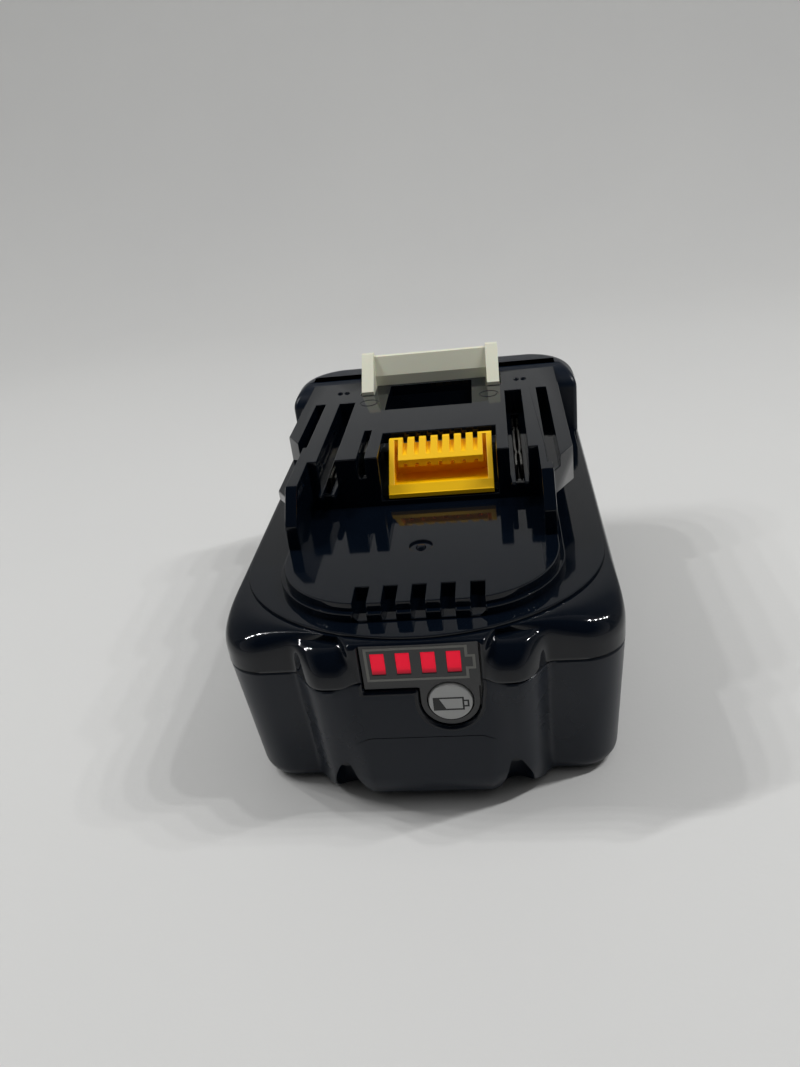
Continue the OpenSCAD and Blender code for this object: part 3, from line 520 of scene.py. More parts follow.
@dataclass(frozen=True)
class PaintedGlowWindow(Finish):
    """Red acrylic with a painted glow, brightest at the top, and painted shade at its foot where the frame shades
    it.
    """

    # colour of the painted shade at the window's foot
    foot: str
    low: float
    high: float
    # strength of the painted glow; no lamp is behind the window
    painted_glow_strength: float = 0.42
    ior: float = 1.49
    level: float = 0.2

    def pattern(self, tree: Tree, shader: Node, place: Socket) -> None:
        """Paint the fall of light down the window: painted glow above, painted shade at the foot."""
        height = add(tree, "ShaderNodeSeparateXYZ", {0: place})
        span = {0: height.outputs[2], 1: self.low * MM, 2: self.high * MM}
        share = add(tree, "ShaderNodeMapRange", span).outputs[0]
        # painted shade at the foot and painted light at the top, used both as colour and as painted glow
        ends = {0: share, 6: linear(self.foot), 7: linear(self.colour)}
        painted_glow = add(tree, "ShaderNodeMix", ends, data_type="RGBA")
        for name in ("Base Color", "Emission Color"):
            tree.links.new(painted_glow.outputs[2], shader.inputs[name])
        shader.inputs["Emission Strength"].default_value = self.painted_glow_strength
        shader.inputs["IOR"].default_value = self.ior
        shader.inputs["Specular IOR Level"].default_value = self.level


@dataclass(frozen=True)
class Metal(Finish):
    """Bare or plated metal, with the fine lines that rolling or drawing leaves along one axis."""

    shade: str
    along: Axis = Axis.Y
    line: float = 0.12
    stretch: float = 24.0
    depth: float = 0.003
    spread: float = 0.06
    patch: float = 5.0

    def pattern(self, tree: Tree, shader: Node, place: Socket) -> None:
        """Draw the lines and the drift of gloss."""
        shader.inputs["Metallic"].default_value = 1.0
        self.uneven(tree, shader, place, self.patch, self.spread, self.shade)
        shrink = [1.0, 1.0, 1.0]
        shrink[self.along.value[2]] = 1 / self.stretch
        drawn = add(tree, "ShaderNodeMapping", {"Vector": place, "Scale": shrink})
        lines = {"Vector": drawn.outputs[0], "Scale": per_metre(self.line), "Detail": 2.0}
        height = add(tree, "ShaderNodeTexNoise", lines).outputs[0]
        bump = add(tree, "ShaderNodeBump", {"Height": height, "Distance": self.depth * MM, "Strength": 1.0})
        tree.links.new(bump.outputs[0], shader.inputs["Normal"])


@dataclass(frozen=True)
class Woven(Finish):
    """Glass cloth in resin, or pressed fibre: two crossed sets of threads under the surface."""

    shade: str
    thread: float = 0.5
    depth: float = 0.01

    def pattern(self, tree: Tree, shader: Node, place: Socket) -> None:
        """Draw the crossed threads."""
        weave = {"Vector": place, "Scale": per_metre(self.thread) / math.tau, "Distortion": 1.5, "Detail": 1.0}
        warp, weft = (add(tree, "ShaderNodeTexWave", weave, bands_direction=way).outputs[1] for way in ("X", "Y"))
        cloth = add(tree, "ShaderNodeMath", {0: warp, 1: weft}, operation="MULTIPLY").outputs[0]
        ends = {0: cloth, 6: linear(self.colour), 7: linear(self.shade)}
        tint = add(tree, "ShaderNodeMix", ends, data_type="RGBA")
        bump = add(tree, "ShaderNodeBump", {"Height": cloth, "Distance": self.depth * MM, "Strength": 1.0})
        tree.links.new(tint.outputs[2], shader.inputs["Base Color"])
        tree.links.new(bump.outputs[0], shader.inputs["Normal"])


# Black ABS from a spark-eroded mould: satin, with a fine even grain that breaks up highlights
CASE_ABS = Moulding(
    "abs_spark_eroded_black", "#0a121e", 0.3, shade="#0d1622", grain=0.35, depth=0.003, level=0.22
)
# The same ABS where the mould was polished: near mirror and faintly wavy
GLOSS_ABS = Moulding(
    "abs_polished_black", "#050a12", 0.06, shade="#070d16", grain=6.0, depth=0.012, spread=0.02, level=0.3
)
# Smoked polycarbonate panel of the gauge: dark, smooth, a little softer than the polished cover
PANEL_PC = Moulding(
    "polycarbonate_smoked_panel", "#101214", 0.3, shade="#141619", grain=0.2, depth=0.002, ior=1.58
)
# Red acrylic windows with a painted glow, darker at the foot as painted shade
WINDOW_PMMA = PaintedGlowWindow("acrylic_red_painted_glow", "#f01234", 0.3, foot="#8c1024", low=32.8, high=34.2)
# Silver lacquer on ABS: a very fine grain gives the soft grey sheen of metal flakes
BUTTON_LACQUER = Moulding(
    "abs_silver_lacquered", "#b4b5b4", 0.34, shade="#a8a9a8", grain=0.12, depth=0.003, spread=0.06
)
# Screen-printed inks: matt, with the slightly uneven film of a silk screen
GREY_INK = Moulding("screen_ink_grey", "#7d7d78", 0.6, shade="#73736e", grain=0.15, depth=0.003)
BLACK_INK = Moulding("screen_ink_black", "#101112", 0.55, shade="#16171a", grain=0.15, depth=0.003)
# Natural acetal: waxy cream-grey that lets light in a little
LATCH_ACETAL = Moulding(
    "acetal_natural_moulded", "#e2e2cf", 0.45, shade="#d9d9c5", grain=0.4, depth=0.006, ior=1.48, through=0.15
)
# Yellow PBT: strong colour, dull sheen, the fine grain of an unpolished mould
PLUG_PBT = Moulding(
    "pbt_yellow_moulded", "#ffcc00", 0.42, shade="#fabf00", grain=0.3, depth=0.006, ior=1.55, level=0.25
)
# White acetal of the hidden plunger
PLUNGER_ACETAL = Moulding("acetal_white_turned", "#e4e4de", 0.45, shade="#d8d8d0", ior=1.48, through=0.15)
# Dark glass-filled nylon of the cell holders and the tray: dull, with a coarse flow grain
FRAME_NYLON = Moulding("nylon_glass_filled", "#4b4e53", 0.6, shade="#54575c", grain=0.5, depth=0.012)
# Epoxy bodies of the board's parts
CHIP_EPOXY = Moulding("epoxy_moulded_package", "#1b1c1e", 0.55, shade="#232427", grain=0.15, depth=0.006)
# White silicone over the gauge's lamps
LED_SILICONE = Moulding("silicone_lamp_dome", "#efe6d6", 0.4, shade="#e6d9b8", ior=1.41, through=0.2)
# Heat-shrunk PVC sleeve of a cell: glossy, drawn tight, with faint waves round the can
CELL_PVC = Moulding("pvc_shrink_sleeve", "#3b76b0", 0.28, shade="#356ca3", grain=2.5, depth=0.05, ior=1.53)
# Amber polyimide film of the ribbon
RIBBON_FILM = Moulding("polyimide_film", "#a85d1c", 0.3, shade="#8f4e17", grain=1.2, depth=0.01, ior=1.7)
# Tinned copper strip, bent: dull grey, darkened as painted shade for the slots it sits in, with drawing lines
# along the blade
CLIP_TIN = Metal("copper_strip_tinned", "#8a8984", 0.3, shade="#75746f", along=Axis.Y)
# Gold-flashed bronze of the signal contacts
PIN_GOLD = Metal("bronze_gold_flashed", "#d8b25a", 0.25, shade="#c49c48", along=Axis.Z)
# Drawn spring wire: grey steel with short lines from the die
SPRING_STEEL = Metal("spring_wire_drawn", "#9fa2a6", 0.3, shade="#85888c", along=Axis.Z, stretch=3.0)
# Rolled nickel strip
NICKEL = Metal("nickel_strip_rolled", "#cfcdc6", 0.32, shade="#bdbab1", along=Axis.Y)
# Black-oxide steel of the case screws: dark, with a patchy oily sheen
SCREW_BLACK = Metal("steel_black_oxide", "#2b2c2e", 0.42, shade="#3a3b3d", along=Axis.Z, stretch=2.0)
# Zinc-plated board screws: slightly blue, cloudy
SCREW_ZINC = Metal("steel_zinc_plated", "#a3a7ab", 0.38, shade="#8d9196", along=Axis.Z, stretch=2.0)
# Glass-epoxy board under black solder mask: the cloth shows as a faint crossed grain
BOARD_FR4 = Woven("glass_epoxy_black_mask", "#0b100e", 0.35, shade="#101713", thread=0.5)
# Vulcanised fibre paper: grey-green, matt, pressed fibre
FISH_PAPER = Woven("fibre_paper_pressed", "#7c8f6c", 0.8, shade="#6b7d5c", thread=0.35, depth=0.02)
# Matt background paper: pale grey with a slow drift of tone and a faint tooth
SWEEP_PAPER = Moulding(
    "paper_sweep_pale", "#d6d6d4", 0.85, shade="#cfcfce", grain=1.0, depth=0.02, patch=180.0
)


# Case


@dataclass
class CaseForm:
    """Outline of the two shells, from the same sizes as the solids."""

    half_w: float = 37.5
    y_end: float = 57.25
    corner_r: float = 8.0
    rear_r: float = 9.5
    bottom_r: float = 4.0
    chin_r: float = 9.0
    parting_z: float = 31.4
    shoulder_z: float = 39.75
    platform_reach: float = 29.5
    pillar_x: float = 15.8
    pillar_h: float = 6.2
    pillar_reach: float = 8.0
    panel_h: float = 4.45
    lip: float = 0.6
    lip_h: float = 0.5
    side_lean: float = 0.03
    front_lean: float = 0.14
    pillar_lean: float = -0.01
    blend: float = 1.2
    panel_blend: float = 4.8
    shoulder_power: float = 2.6
    panel_round: float = 1.4
    dome_h: float = 6.0
    dome_rise: float = 1.1
    shoulder_r: float = 5.2
    shoulder_in: float = 1.3
    shoulder_back: float = 1.0
    panel_in: float = 4.0
    panel_fade: float = 3.2
    chin_fade: int = 3
    least_r: float = 1.5
    least_rear_r: float = 2.0
    flat_steps: int = 72
    arc_steps: int = 18

    def __post_init__(self) -> None:
        """Work out the places that follow from the sizes."""
        self.panel_y = self.y_end - self.pillar_h
        self.round_z = self.shoulder_z - self.shoulder_r
        self.shoulder_half_w = self.half_w - self.shoulder_in
        self.shoulder_y = self.panel_y + self.panel_h - self.shoulder_back
        self.dome_z = self.parting_z + self.dome_rise
        flat = 1 - self.corner_r / self.half_w
        half = [flat * i / self.flat_steps for i in range(self.flat_steps + 1)]
        half += [1 - (1 - flat) * (1 - math.sin(a)) for a in quarter_turns(self.arc_steps)[1:]]
        self.shares = [-s for s in half[:0:-1]] + half

    def panel_share(self, x: float) -> float:
        """Share of the middle panel at x."""
        return 1 - smooth((abs(x) - self.pillar_x + self.panel_in) / self.panel_fade)

    def pillar_share(self, x: float) -> float:
        """Share of a pillar at x."""
        t = abs(abs(x) - self.pillar_x) / self.pillar_reach
        return (1 - t**3) ** 2 if t < 1 else 0.0

    def shoulder_inset(self, t: float) -> float:
        """Inset of the shoulder's rounding at t of its height."""
        power = self.shoulder_power
        return 1 - max(0.0, 1 - clamp01(t) ** power) ** (1 / power)

    def rear_points(self, half: float, rear: float, radius: float, z: float) -> Ring:
        """Rear edge of a ring, from the right corner to the left."""
        right = arc((half - radius, rear - radius), radius, 0, 90, self.arc_steps)
        left = arc((radius - half, rear - radius), radius, 90, 180, self.arc_steps)
        return at_height(right + left, z)

    def edge_inset(self, z: float, radius: float) -> float:
        """Inset of a rounded bottom edge at one height."""
        return radius * quarter_inset(1 - z / radius) if z < radius else 0.0

    def front_bulge(self, x: float, mid: float, out: float) -> float:
        """How far the lower front stands out at x: the middle goes over into the pillars without a step."""
        near = abs(x) - self.pillar_x
        return lerp(mid, out, smooth(1 + near / self.panel_blend)) if near < 0 else out * self.pillar_share(x)

    def lower_ring(self, z: float, lip: float = 0.0) -> Ring:
        """Ring of the lower shell, whose middle is upright and rounds under further than the rest.

        Args:
            z: Height of the ring.
            lip: Inset of the lip at the parting line.

        Returns:
            Points of the ring.
        """
        drop = self.parting_z - z
        inset = lip + self.edge_inset(z, self.bottom_r)
        chin = self.edge_inset(z, self.chin_r) - self.edge_inset(z, self.bottom_r)
        half = self.half_w - self.side_lean * drop - inset
        side = self.panel_y - self.front_lean * drop - inset
        mid = self.panel_h + self.front_lean * drop
        out = self.pillar_h + self.pillar_lean * drop
        radius = max(self.least_r, self.corner_r - inset)
        front = []
        for share in self.shares:
            x = share * half
            under = chin * (1.0 if abs(x) < self.pillar_x else self.pillar_share(x)) ** self.chin_fade
            front.append((x, corner_drop(x, half, radius) - side - self.front_bulge(x, mid, out) + under, z))
        rear = self.y_end - self.side_lean * drop - inset
        return front + self.rear_points(half, rear, max(self.least_rear_r, self.rear_r - inset), z)

    def upper_ring(self, z: float, lip: float = 0.0) -> Ring:
        """Ring of the upper shell, which goes over into the platform's outline as the shoulder rounds off.

        Args:
            z: Height of the ring.
            lip: Inset of the lip at the parting line.

        Returns:
            Points of the ring.
        """
        share_up = self.shoulder_inset((z - self.round_z) / (self.shoulder_z - self.round_z))
        half = lerp(self.half_w, self.shoulder_half_w, share_up) - lip
        dome = 1.0 if z < self.dome_z else math.sqrt(max(0.0, 1 - ((z - self.dome_z) / self.dome_h) ** 2))
        front = []
        for share in self.shares:
            x = share * half
            panel = self.panel_share(x)
            mid = self.panel_h * panel
            start = lerp(self.round_z, self.shoulder_z - self.panel_round, panel)
            rounding = self.shoulder_inset((z - start) / (self.shoulder_z - start))
            low = self.panel_y + mid - corner_drop(x, half, self.corner_r)
            high = self.shoulder_y - self.platform_reach * quarter_inset(share)
            bulge = smooth_max(mid, self.pillar_h * dome * self.pillar_share(x), self.blend) - mid
            front.append((x, lip - lerp(low, high, rounding) - bulge, z))
        return front + self.rear_points(half, self.y_end - lip, self.rear_r, z)


FORM = CaseForm()


@dataclass
class Inside:
    """Hollow of the case and the holes that go through both shells."""

    half_w: float = 35.1
    front: float = -47.5
    knee: float = -46.0
    knee_z: float = 10.75
    foot: float = -44.6
    rear: float = 53.5
    floor_z: float = 1.6
    radius: float = 5.0
    roof_radius: float = 10.0
    top: float = 38.25
    screws: tuple[Flat, ...] = ((-16.1, -50.9), (16.1, -50.9), (-24.0, 51.2), (24.0, 51.2))
    access_d: float = 6.7
    seat_z: float = 13.0
    shank_d: float = 3.2
    shank_top: float = 36.9
    boss_d: float = 8.9

    def ring(self, front: float, z: float, front_radius: float | None = None) -> Ring:
        """Ring of the hollow at one height."""
        r, f = self.radius, front_radius or self.radius
        return at_height(round_outline((-self.half_w, front), (self.half_w, self.rear), (f, f, r, r)), z)

    def screw_holes(self) -> list[Solid]:
        """Access hole and shank hole of each screw."""
        holes = []
        for place in self.screws:
            holes.append(bar(place, -PAST, self.seat_z, self.access_d, Skin.SATIN))
            holes.append(bar(place, self.seat_z - PAST, self.shank_top, self.shank_d, Skin.SATIN))
        return holes

    def rear_bosses(self, low: float, high: float, diameter: float) -> list[Solid]:
        """Posts round the rear screws."""
        return [bar(place, low, high, diameter, Skin.SATIN) for place in self.screws if place[1] > 0]


INSIDE = Inside()


@dataclass
class GaugePlace:
    """Outline and depth of the charge gauge in the front."""

    left: float = -10.1
    right: float = 11.0
    bottom: float = 29.5
    top: float = 39.2
    face_y: float = -54.75
    back_y: float = -53.55
    button: Flat = (5.2, 26.3)
    tab_r: float = 5.4
    ledge: float = 0.5
    gap: float = 0.15
    rim: float = 0.75
    rim_steps: int = 6
    lead: float = 0.01
    corner_steps: int = 6
    tab_steps: int = 40

    def outline(self, grow: float = 0.0, corner: float = 0.5) -> list[Flat]:
        """L-shaped outline of the panel.

        Args:
            grow: Room added all round, at the top no more than the gap.
            corner: Radius of the three upper corners.

        Returns:
            The points in X and Z.
        """
        x, z = self.button
        r = self.tab_r + grow
        left, right = self.left - grow, self.right + grow
        low, high = self.bottom - grow, self.top + min(grow, self.gap)
        steps = self.corner_steps
        return [
            *arc((left + corner, low + corner), corner, 180, 270, steps),
            *arc((x - r - corner, low - corner), corner, 90, 0, steps),
            *arc((x, z), r, 180, 360, self.tab_steps),
            (right, low),
            *arc((right - corner, high - corner), corner, 0, 90, steps),
            *arc((left + corner, high - corner), corner, 90, 180, steps),
        ]

    def mouth(self) -> Solid:
        """Rounding of the recess's edge, which a polished insert of the mould makes."""
        turns = [(1 - math.cos(a), math.sin(a)) for a in quarter_turns(self.rim_steps)]
        steps = [(self.gap + self.rim * out, self.face_y - self.rim * up) for out, up in turns]
        wide = self.gap + self.rim + self.lead
        steps += [(wide, steps[-1][1] - 2 * self.lead), (wide, -FORM.y_end - PAST)]
        return loft([[(x, y, z) for x, z in self.outline(grow)] for grow, y in steps], Skin.GLOSS)

    def pocket(self) -> list[Solid]:
        """Recess and opening for the gauge."""
        return [
            self.mouth(),
            prism(Axis.Y, self.outline(self.gap), -FORM.y_end - PAST, self.back_y),
            prism(Axis.Y, self.outline(-self.ledge), self.back_y - LAP, INSIDE.front + LAP, Skin.SATIN),
        ]


GAUGE = GaugePlace()


@dataclass
class LowerCase:
    """Moulded lower shell with its two front pillars and four screw holes."""

    base_steps: int = 10
    chin_steps: int = 8
    wall_steps: int = 12
    seam_z: float = 18.7
    seam_half: float = 10.0
    seam_end: float = 14.0
    seam_drop: float = 1.3
    seam_w: float = 0.16
    seam_depth: float = 0.12
    seam_steps: int = 48
    arch_steps: tuple[Flat, ...] = ((0.08, 0.16),)

    def arch_edges(self, rings: Sequence[Ring], depth: float, room: float) -> list[Solid]:
        """Step of the rounding where a front screw hole opens through the front.

        Args:
            rings: Rings of the shell.
            depth: How deep the step goes into the front.
            room: How far it reaches past the hole's edge.

        Returns:
            One tool for each front hole.
        """
        tools = []
        for place in (place for place in INSIDE.screws if place[1] < 0):
            stock = bar(place, -PAST, INSIDE.seat_z + room, INSIDE.access_d + 2 * room, Skin.SATIN)
            core = loft([[(x, y + depth, z) for x, y, z in ring] for ring in rings])
            tools.append(carve(stock, [core], Carving.CUT))
        return tools

    def seam(self) -> Solid:
        """Hairline across the chin, where an insert of the mould ends; its ends droop towards the pillars."""
        steps, droop = even_steps(-self.seam_end, self.seam_end, self.seam_steps), self.seam_end - self.seam_half
        fall = [self.seam_drop * smooth((abs(x) - self.seam_half) / droop) for x in steps]
        low = [(x, self.seam_z - drop - self.seam_w / 2) for x, drop in zip(steps, fall)]
        high = [(x, self.seam_z - drop + self.seam_w / 2) for x, drop in zip(steps, fall)]
        depth = self.seam_depth - FORM.panel_y - FORM.panel_h
        return prism(Axis.Y, low + high[::-1], -FORM.y_end - PAST, depth, Skin.SATIN)

    def build(self) -> None:
        """Make the shell and hang it on the pack."""
        top = FORM.parting_z
        base = [FORM.bottom_r * (1 - math.cos(a)) for a in quarter_turns(self.base_steps)]
        chin = even_steps(FORM.bottom_r, FORM.chin_r, self.chin_steps)[1:]
        walls = even_steps(FORM.chin_r, top - FORM.lip_h, self.wall_steps)[1:]
        rings = [FORM.lower_ring(z) for z in base + chin + walls]
        rings += [FORM.lower_ring(top - FORM.lip_h / 3, FORM.lip / 3), FORM.lower_ring(top, FORM.lip)]
        shell = loft(rings)
        eased = [tool for depth, room in self.arch_steps for tool in self.arch_edges(rings, depth, room)]
        carve(shell, eased, Carving.CUT)
        hollow = loft(
            [
                INSIDE.ring(INSIDE.foot, INSIDE.floor_z),
                INSIDE.ring(INSIDE.knee, INSIDE.knee_z),
                INSIDE.ring(INSIDE.front, top + LAP),
            ]
        )
        carve(hollow, INSIDE.rear_bosses(INSIDE.floor_z - PAST, top + PAST, INSIDE.boss_d), Carving.CUT)
        carve(shell, [hollow, *INSIDE.screw_holes(), *GAUGE.pocket(), self.seam()], Carving.CUT)
        finish_piece(shell, "lower_shell", "pack", [CASE_ABS, GLOSS_ABS], ["lower_case"])


@dataclass
class UpperCover:
    """Moulded upper shell: shoulder, platform, tongue, rail block, wings and rear block."""

    platform_z: float = 40.35
    platform_inset: float = 0.25
    tongue_z: float = 43.8
    tongue_front: float = -48.2
    tongue_r: float = 18.0
    ledge: float = 1.0
    ledge_z: float = 42.1
    neck: float = 27.0
    rail: float = 31.6
    deck_z: float = 55.4
    deck_front: float = -9.25
    deck_rear: float = 42.35
    deck_t: float = 2.5
    wing_z: float = 47.6
    wing_front: float = -10.45
    wing_chamfer: float = 7.2
    key_front: float = 6.65
    key_z: float = 49.8
    arm_t: float = 2.5
    arm_front: float = -21.05
    arm_foot: float = -26.9
    arm_knee_z: float = 49.2
    channel_x: float = 20.55
    channel_w: float = 3.9
    channel_z: float = 49.4
    channel_rear: float = 26.75
    trough_z: float = 47.6
    trough_wall: float = 1.5
    prong_l: float = 4.5
    prong_t: float = 1.5
    clip_slot: float = 1.7
    wing_slot_x: float = 26.2
    wing_slot_w: float = 2.4
    wing_slot_z: float = 48.9
    wing_slot_rear: float = 27.15
    wing_slot_step: float = 1.05
    wing_slot_floor_z: float = 53.0
    block_front: float = 36.75
    block_z: float = 56.0
    rear_edge_r: float = 5.0
    rear_front_ease: float = 2.0
    rear_top_r: float = 13.0
    rear_in_z: float = 52.0
    block_in_w: float = 24.6
    block_in_front: float = -7.05
    block_in_z: float = 52.8
    duct_front: float = -40.75
    duct_z: float = 41.4
    notches: int = 5
    notch_w: float = 2.55
    notch_pitch: float = 5.35
    notch_mid: float = 0.6
    notch_rear: float = -42.4
    vent_half: float = 10.4
    vent_front: float = 19.75
    vent_rear: float = 37.1
    latch_half: float = 17.5
    latch_front: float = 32.15
    latch_rear: float = 41.75
    ramp_front: float = 38.65
    plate_t: float = 3.1
    fit: float = 0.3
    # black wall under the vent, in front of the latch, which stands in for the shade inside the vent
    shade_wall_half: float = 12.75
    shade_wall_z: float = 47.5
    sense_x: float = -13.0
    sense_slot: float = 1.6
    sense_rear: float = 6.95
    sense_slot_z: float = 50.7
    plug_hole: tuple[float, float, float] = (-9.3, 15.9, 4.35)
    plug_sill_z: float = 45.1
    release_half: float = 13.3
    release_low: float = 35.3
    release_high: float = 50.3
    recess_margin: float = 2.2
    recess_t: float = 1.5
    pips: tuple[float, ...] = (21.7, 23.5)
    pip_y: float = 34.55
    pip_d: float = 1.5
    pip_h: float = 0.45
    dials: tuple[Flat, ...] = ((-14.9, 25.5), (14.7, 25.2))
    dial_d: float = 4.6
    dial_h: float = 0.12
    gate: Flat = (0.0, -28.0)
    gate_d: float = 4.6
    gate_h: float = 0.5
    edge: float = 0.28
    edge_below: float = 0.1
    tuck: float = 0.4
    tail_r: float = 0.5
    rear_in: float = 0.5
    rear_back: float = 0.1
    room_r: float = 1.0
    duct_in: float = 4.0
    rear_wall: float = 1.6
    rear_in_front: float = 3.2
    block_in_rear: float = 49.5
    boss_h: float = 7.5
    boss_less: float = 1.6
    clip_slot_in: float = 0.6
    notch_sill: float = 0.4
    recess_r: float = 2.0
    dial_line: float = 0.3
    pip_rises: tuple[float, ...] = (-0.4, 0.0, 0.35, 0.65, 0.85, 0.97)
    gate_stub: tuple[Flat, ...] = ((1.1, -0.2), (1.0, 0.55), (0.75, 0.85), (0.3, 1.0))
    low_steps: int = 6
    high_steps: int = 20
    platform_steps: int = 96
    tongue_steps: int = 24
    rear_steps: int = 20
    rear_edge_steps: int = 12
    mark_steps: int = 24
    recess_steps: int = 8

    def shell(self) -> Solid:
        """Shoulder of the cover down to the parting line."""
        start = FORM.parting_z
        rings = [FORM.upper_ring(start, FORM.lip), FORM.upper_ring(start + FORM.lip_h / 3, FORM.lip / 3)]
        low = even_steps(start + FORM.lip_h, FORM.round_z, self.low_steps)
        high = [lerp(FORM.round_z, FORM.shoulder_z, math.sin(a)) for a in quarter_turns(self.high_steps)[1:]]
        return loft(rings + [FORM.upper_ring(z) for z in low + high], Skin.GLOSS)

    def platform(self) -> Solid:
        """Raised floor under the tongue, which ends in half an ellipse."""
        half = FORM.shoulder_half_w - self.platform_inset
        reach = FORM.platform_reach - self.platform_inset
        middle = FORM.platform_reach - FORM.shoulder_y
        angles = map(math.radians, even_steps(180, 360, self.platform_steps))
        outline = [(half * math.cos(a), middle + reach * math.sin(a)) for a in angles]
        rear = self.block_front + 2 * PAST
        return prism(Axis.Z, [*outline, (half, rear), (-half, rear)], FORM.shoulder_z - LAP, self.platform_z)

    def tongue(self) -> list[Solid]:
        """Tongue in front of the deck, with a ledge round its foot."""
        layers = []
        for grow, top in ((0.0, self.tongue_z), (self.ledge, self.ledge_z)):
            half, front, r = self.neck + grow, self.tongue_front - grow, self.tongue_r + grow
            radii = (r, r, self.tail_r, self.tail_r)
            outline = round_outline((-half, front), (half, self.deck_front + 2 * PAST), radii, self.tongue_steps)
            layers.append(prism(Axis.Z, outline, self.platform_z - self.tuck, top))
        return layers

    def wing(self, front: float) -> list[Flat]:
        """Outline of a wing in X and Y, on the right."""
        inner = self.neck - PAST
        return [
            (inner, front - self.wing_chamfer), (self.neck, front - self.wing_chamfer), (self.rail, front),
            (self.rail, self.deck_rear), (inner, self.deck_rear),
        ]

    def rail_block(self) -> list[Solid]:
        """Deck with its neck, the two wings, the arms and the prongs under the channels."""
        root, foot = self.deck_front + PAST, self.tongue_z - LAP
        arm = [
            (root, foot), (root, self.deck_z), (self.arm_front, self.deck_z), (self.arm_foot, self.arm_knee_z),
            (self.arm_foot, foot),
        ]
        solids = [
            slab(0, self.neck, (self.deck_front, self.deck_rear), (self.platform_z - self.tuck, self.deck_z)),
            prism(Axis.Z, self.wing(self.wing_front), self.wing_z, self.deck_z),
            prism(Axis.Z, flip_x(self.wing(self.key_front)), self.wing_z, self.deck_z),
            prism(Axis.Z, flip_x(self.wing(self.wing_front)), self.wing_z, self.key_z),
        ]
        prong_y, prong_z = (self.deck_front - self.prong_l, root), (self.channel_z - self.prong_t, self.channel_z)
        for side in SIDES:
            solids.append(prism(Axis.X, arm, *sorted((side * (self.neck - self.arm_t), side * self.neck))))
            solids.append(slab(side * self.channel_x, self.channel_w / 2, prong_y, prong_z))
        return solids

    def rear_block(self) -> Solid:
        """Block behind the deck, which carries the latch; its rear corners grow rounder towards the top."""
        half, rear, low = FORM.half_w - self.rear_in, FORM.y_end - self.rear_back, FORM.round_z

        def ring(z: float, inset: float) -> Ring:
            """Ring at one height, drawn in by an inset that eases the front edge further."""
            r = lerp(FORM.rear_r - self.rear_in, self.rear_top_r, (z - low) / (self.block_z - low)) - inset
            front = self.block_front + self.rear_front_ease * inset
            radii = (self.room_r, self.room_r, r, r)
            return at_height(
                round_outline((inset - half, front), (half - inset, rear - inset), radii, self.rear_steps), z
            )

        turns = quarter_turns(self.rear_edge_steps)
        edge = [(self.rear_edge_r * (1 - math.sin(a)), self.rear_edge_r * (1 - math.cos(a))) for a in turns]
        return loft([ring(low - LAP, 0.0), *(ring(self.block_z - down, inset) for down, inset in edge)])

    def pip_domes(self) -> list[Solid]:
        """Small domes beside the latch, polished with the deck."""
        domes = []
        for x in (side * place for side in SIDES for place in self.pips):
            rings = []
            for rise in self.pip_rises:
                radius = self.pip_d / 2 * math.sqrt(1 - max(rise, 0.0) ** 2)
                height = self.deck_z + self.pip_h * rise
                rings.append(at_height(circle((x, self.pip_y), radius, self.mark_steps), height))
            domes.append(loft(rings, Skin.GLOSS))
        return domes

    def marks(self) -> list[Solid]:
        """Shallow rings on the deck, and the round gate mark with its stub on the tongue."""
        cuts = []
        for place in self.dials:
            ring = bar(place, self.deck_z - self.dial_h, self.deck_z + PAST, self.dial_d)
            core = bar(place, self.deck_z - PAST, self.deck_z + 2 * PAST, self.dial_d - 2 * self.dial_line)
            cuts.append(carve(ring, [core], Carving.CUT))
        dish = bar(self.gate, self.tongue_z - self.gate_h, self.tongue_z + PAST, self.gate_d)
        stub = [
            at_height(circle(self.gate, radius, self.mark_steps), self.tongue_z - self.gate_h * (1 - rise))
            for radius, rise in self.gate_stub
        ]
        cuts.append(carve(dish, [loft(stub, Skin.GLOSS)], Carving.CUT))
        return cuts

    def hollow(self) -> Solid:
        """Hollow of the cover, less the screw posts, the terminal troughs and a black wall that stands in for
        shade in the vent.
        """
        top, under = INSIDE.top, INSIDE.top - LAP
        space = loft(
            [
                INSIDE.ring(INSIDE.front, FORM.parting_z - PAST),
                INSIDE.ring(INSIDE.front, FORM.round_z),
                INSIDE.ring(INSIDE.front, top, INSIDE.roof_radius),
            ]
        )
        front_r, end_r = self.tongue_r - self.duct_in, self.room_r
        half, rear_half = self.neck - self.deck_t, INSIDE.half_w - self.rear_wall
        duct = round_outline(
            (-half, self.duct_front), (half, self.block_in_front + PAST), (front_r, front_r, end_r, end_r)
        )
        rear = round_outline(
            (-rear_half, self.block_front + self.rear_in_front), (rear_half, INSIDE.rear),
            (end_r, end_r, INSIDE.radius, INSIDE.radius),
        )
        room_z = (under, self.block_in_z)
        rooms = [
            prism(Axis.Z, duct, under, self.duct_z, Skin.SATIN),
            prism(Axis.Z, rear, under, self.rear_in_z, Skin.SATIN),
            slab(0, self.block_in_w, (self.block_in_front, self.block_in_rear), room_z, Skin.SATIN),
        ]
        carve(space, rooms, Carving.JOIN)
        reach = (self.channel_x - self.channel_w / 2 - self.trough_wall, self.block_in_w + PAST)
        troughs = []
        for side in SIDES:
            low, high = sorted(side * x for x in reach)
            troughs.append(
                block(
                    (low, self.block_in_front - PAST, self.trough_z),
                    (high, self.channel_rear + self.trough_wall, self.deck_z), Skin.SATIN,
                )
            )
        parting = FORM.parting_z
        bosses = INSIDE.rear_bosses(parting - 2 * PAST, parting + self.boss_h, INSIDE.boss_d - self.boss_less)
        # black wall kept under the vent's rear edge: it stands in for shade, so the vent looks dark inside
        shade_wall_y = (self.vent_rear, self.ramp_front - self.fit)
        shade_wall = slab(0, self.shade_wall_half, shade_wall_y, (self.shade_wall_z, self.deck_z), Skin.SATIN)
        return carve(space, [*troughs, *bosses, shade_wall], Carving.CUT)

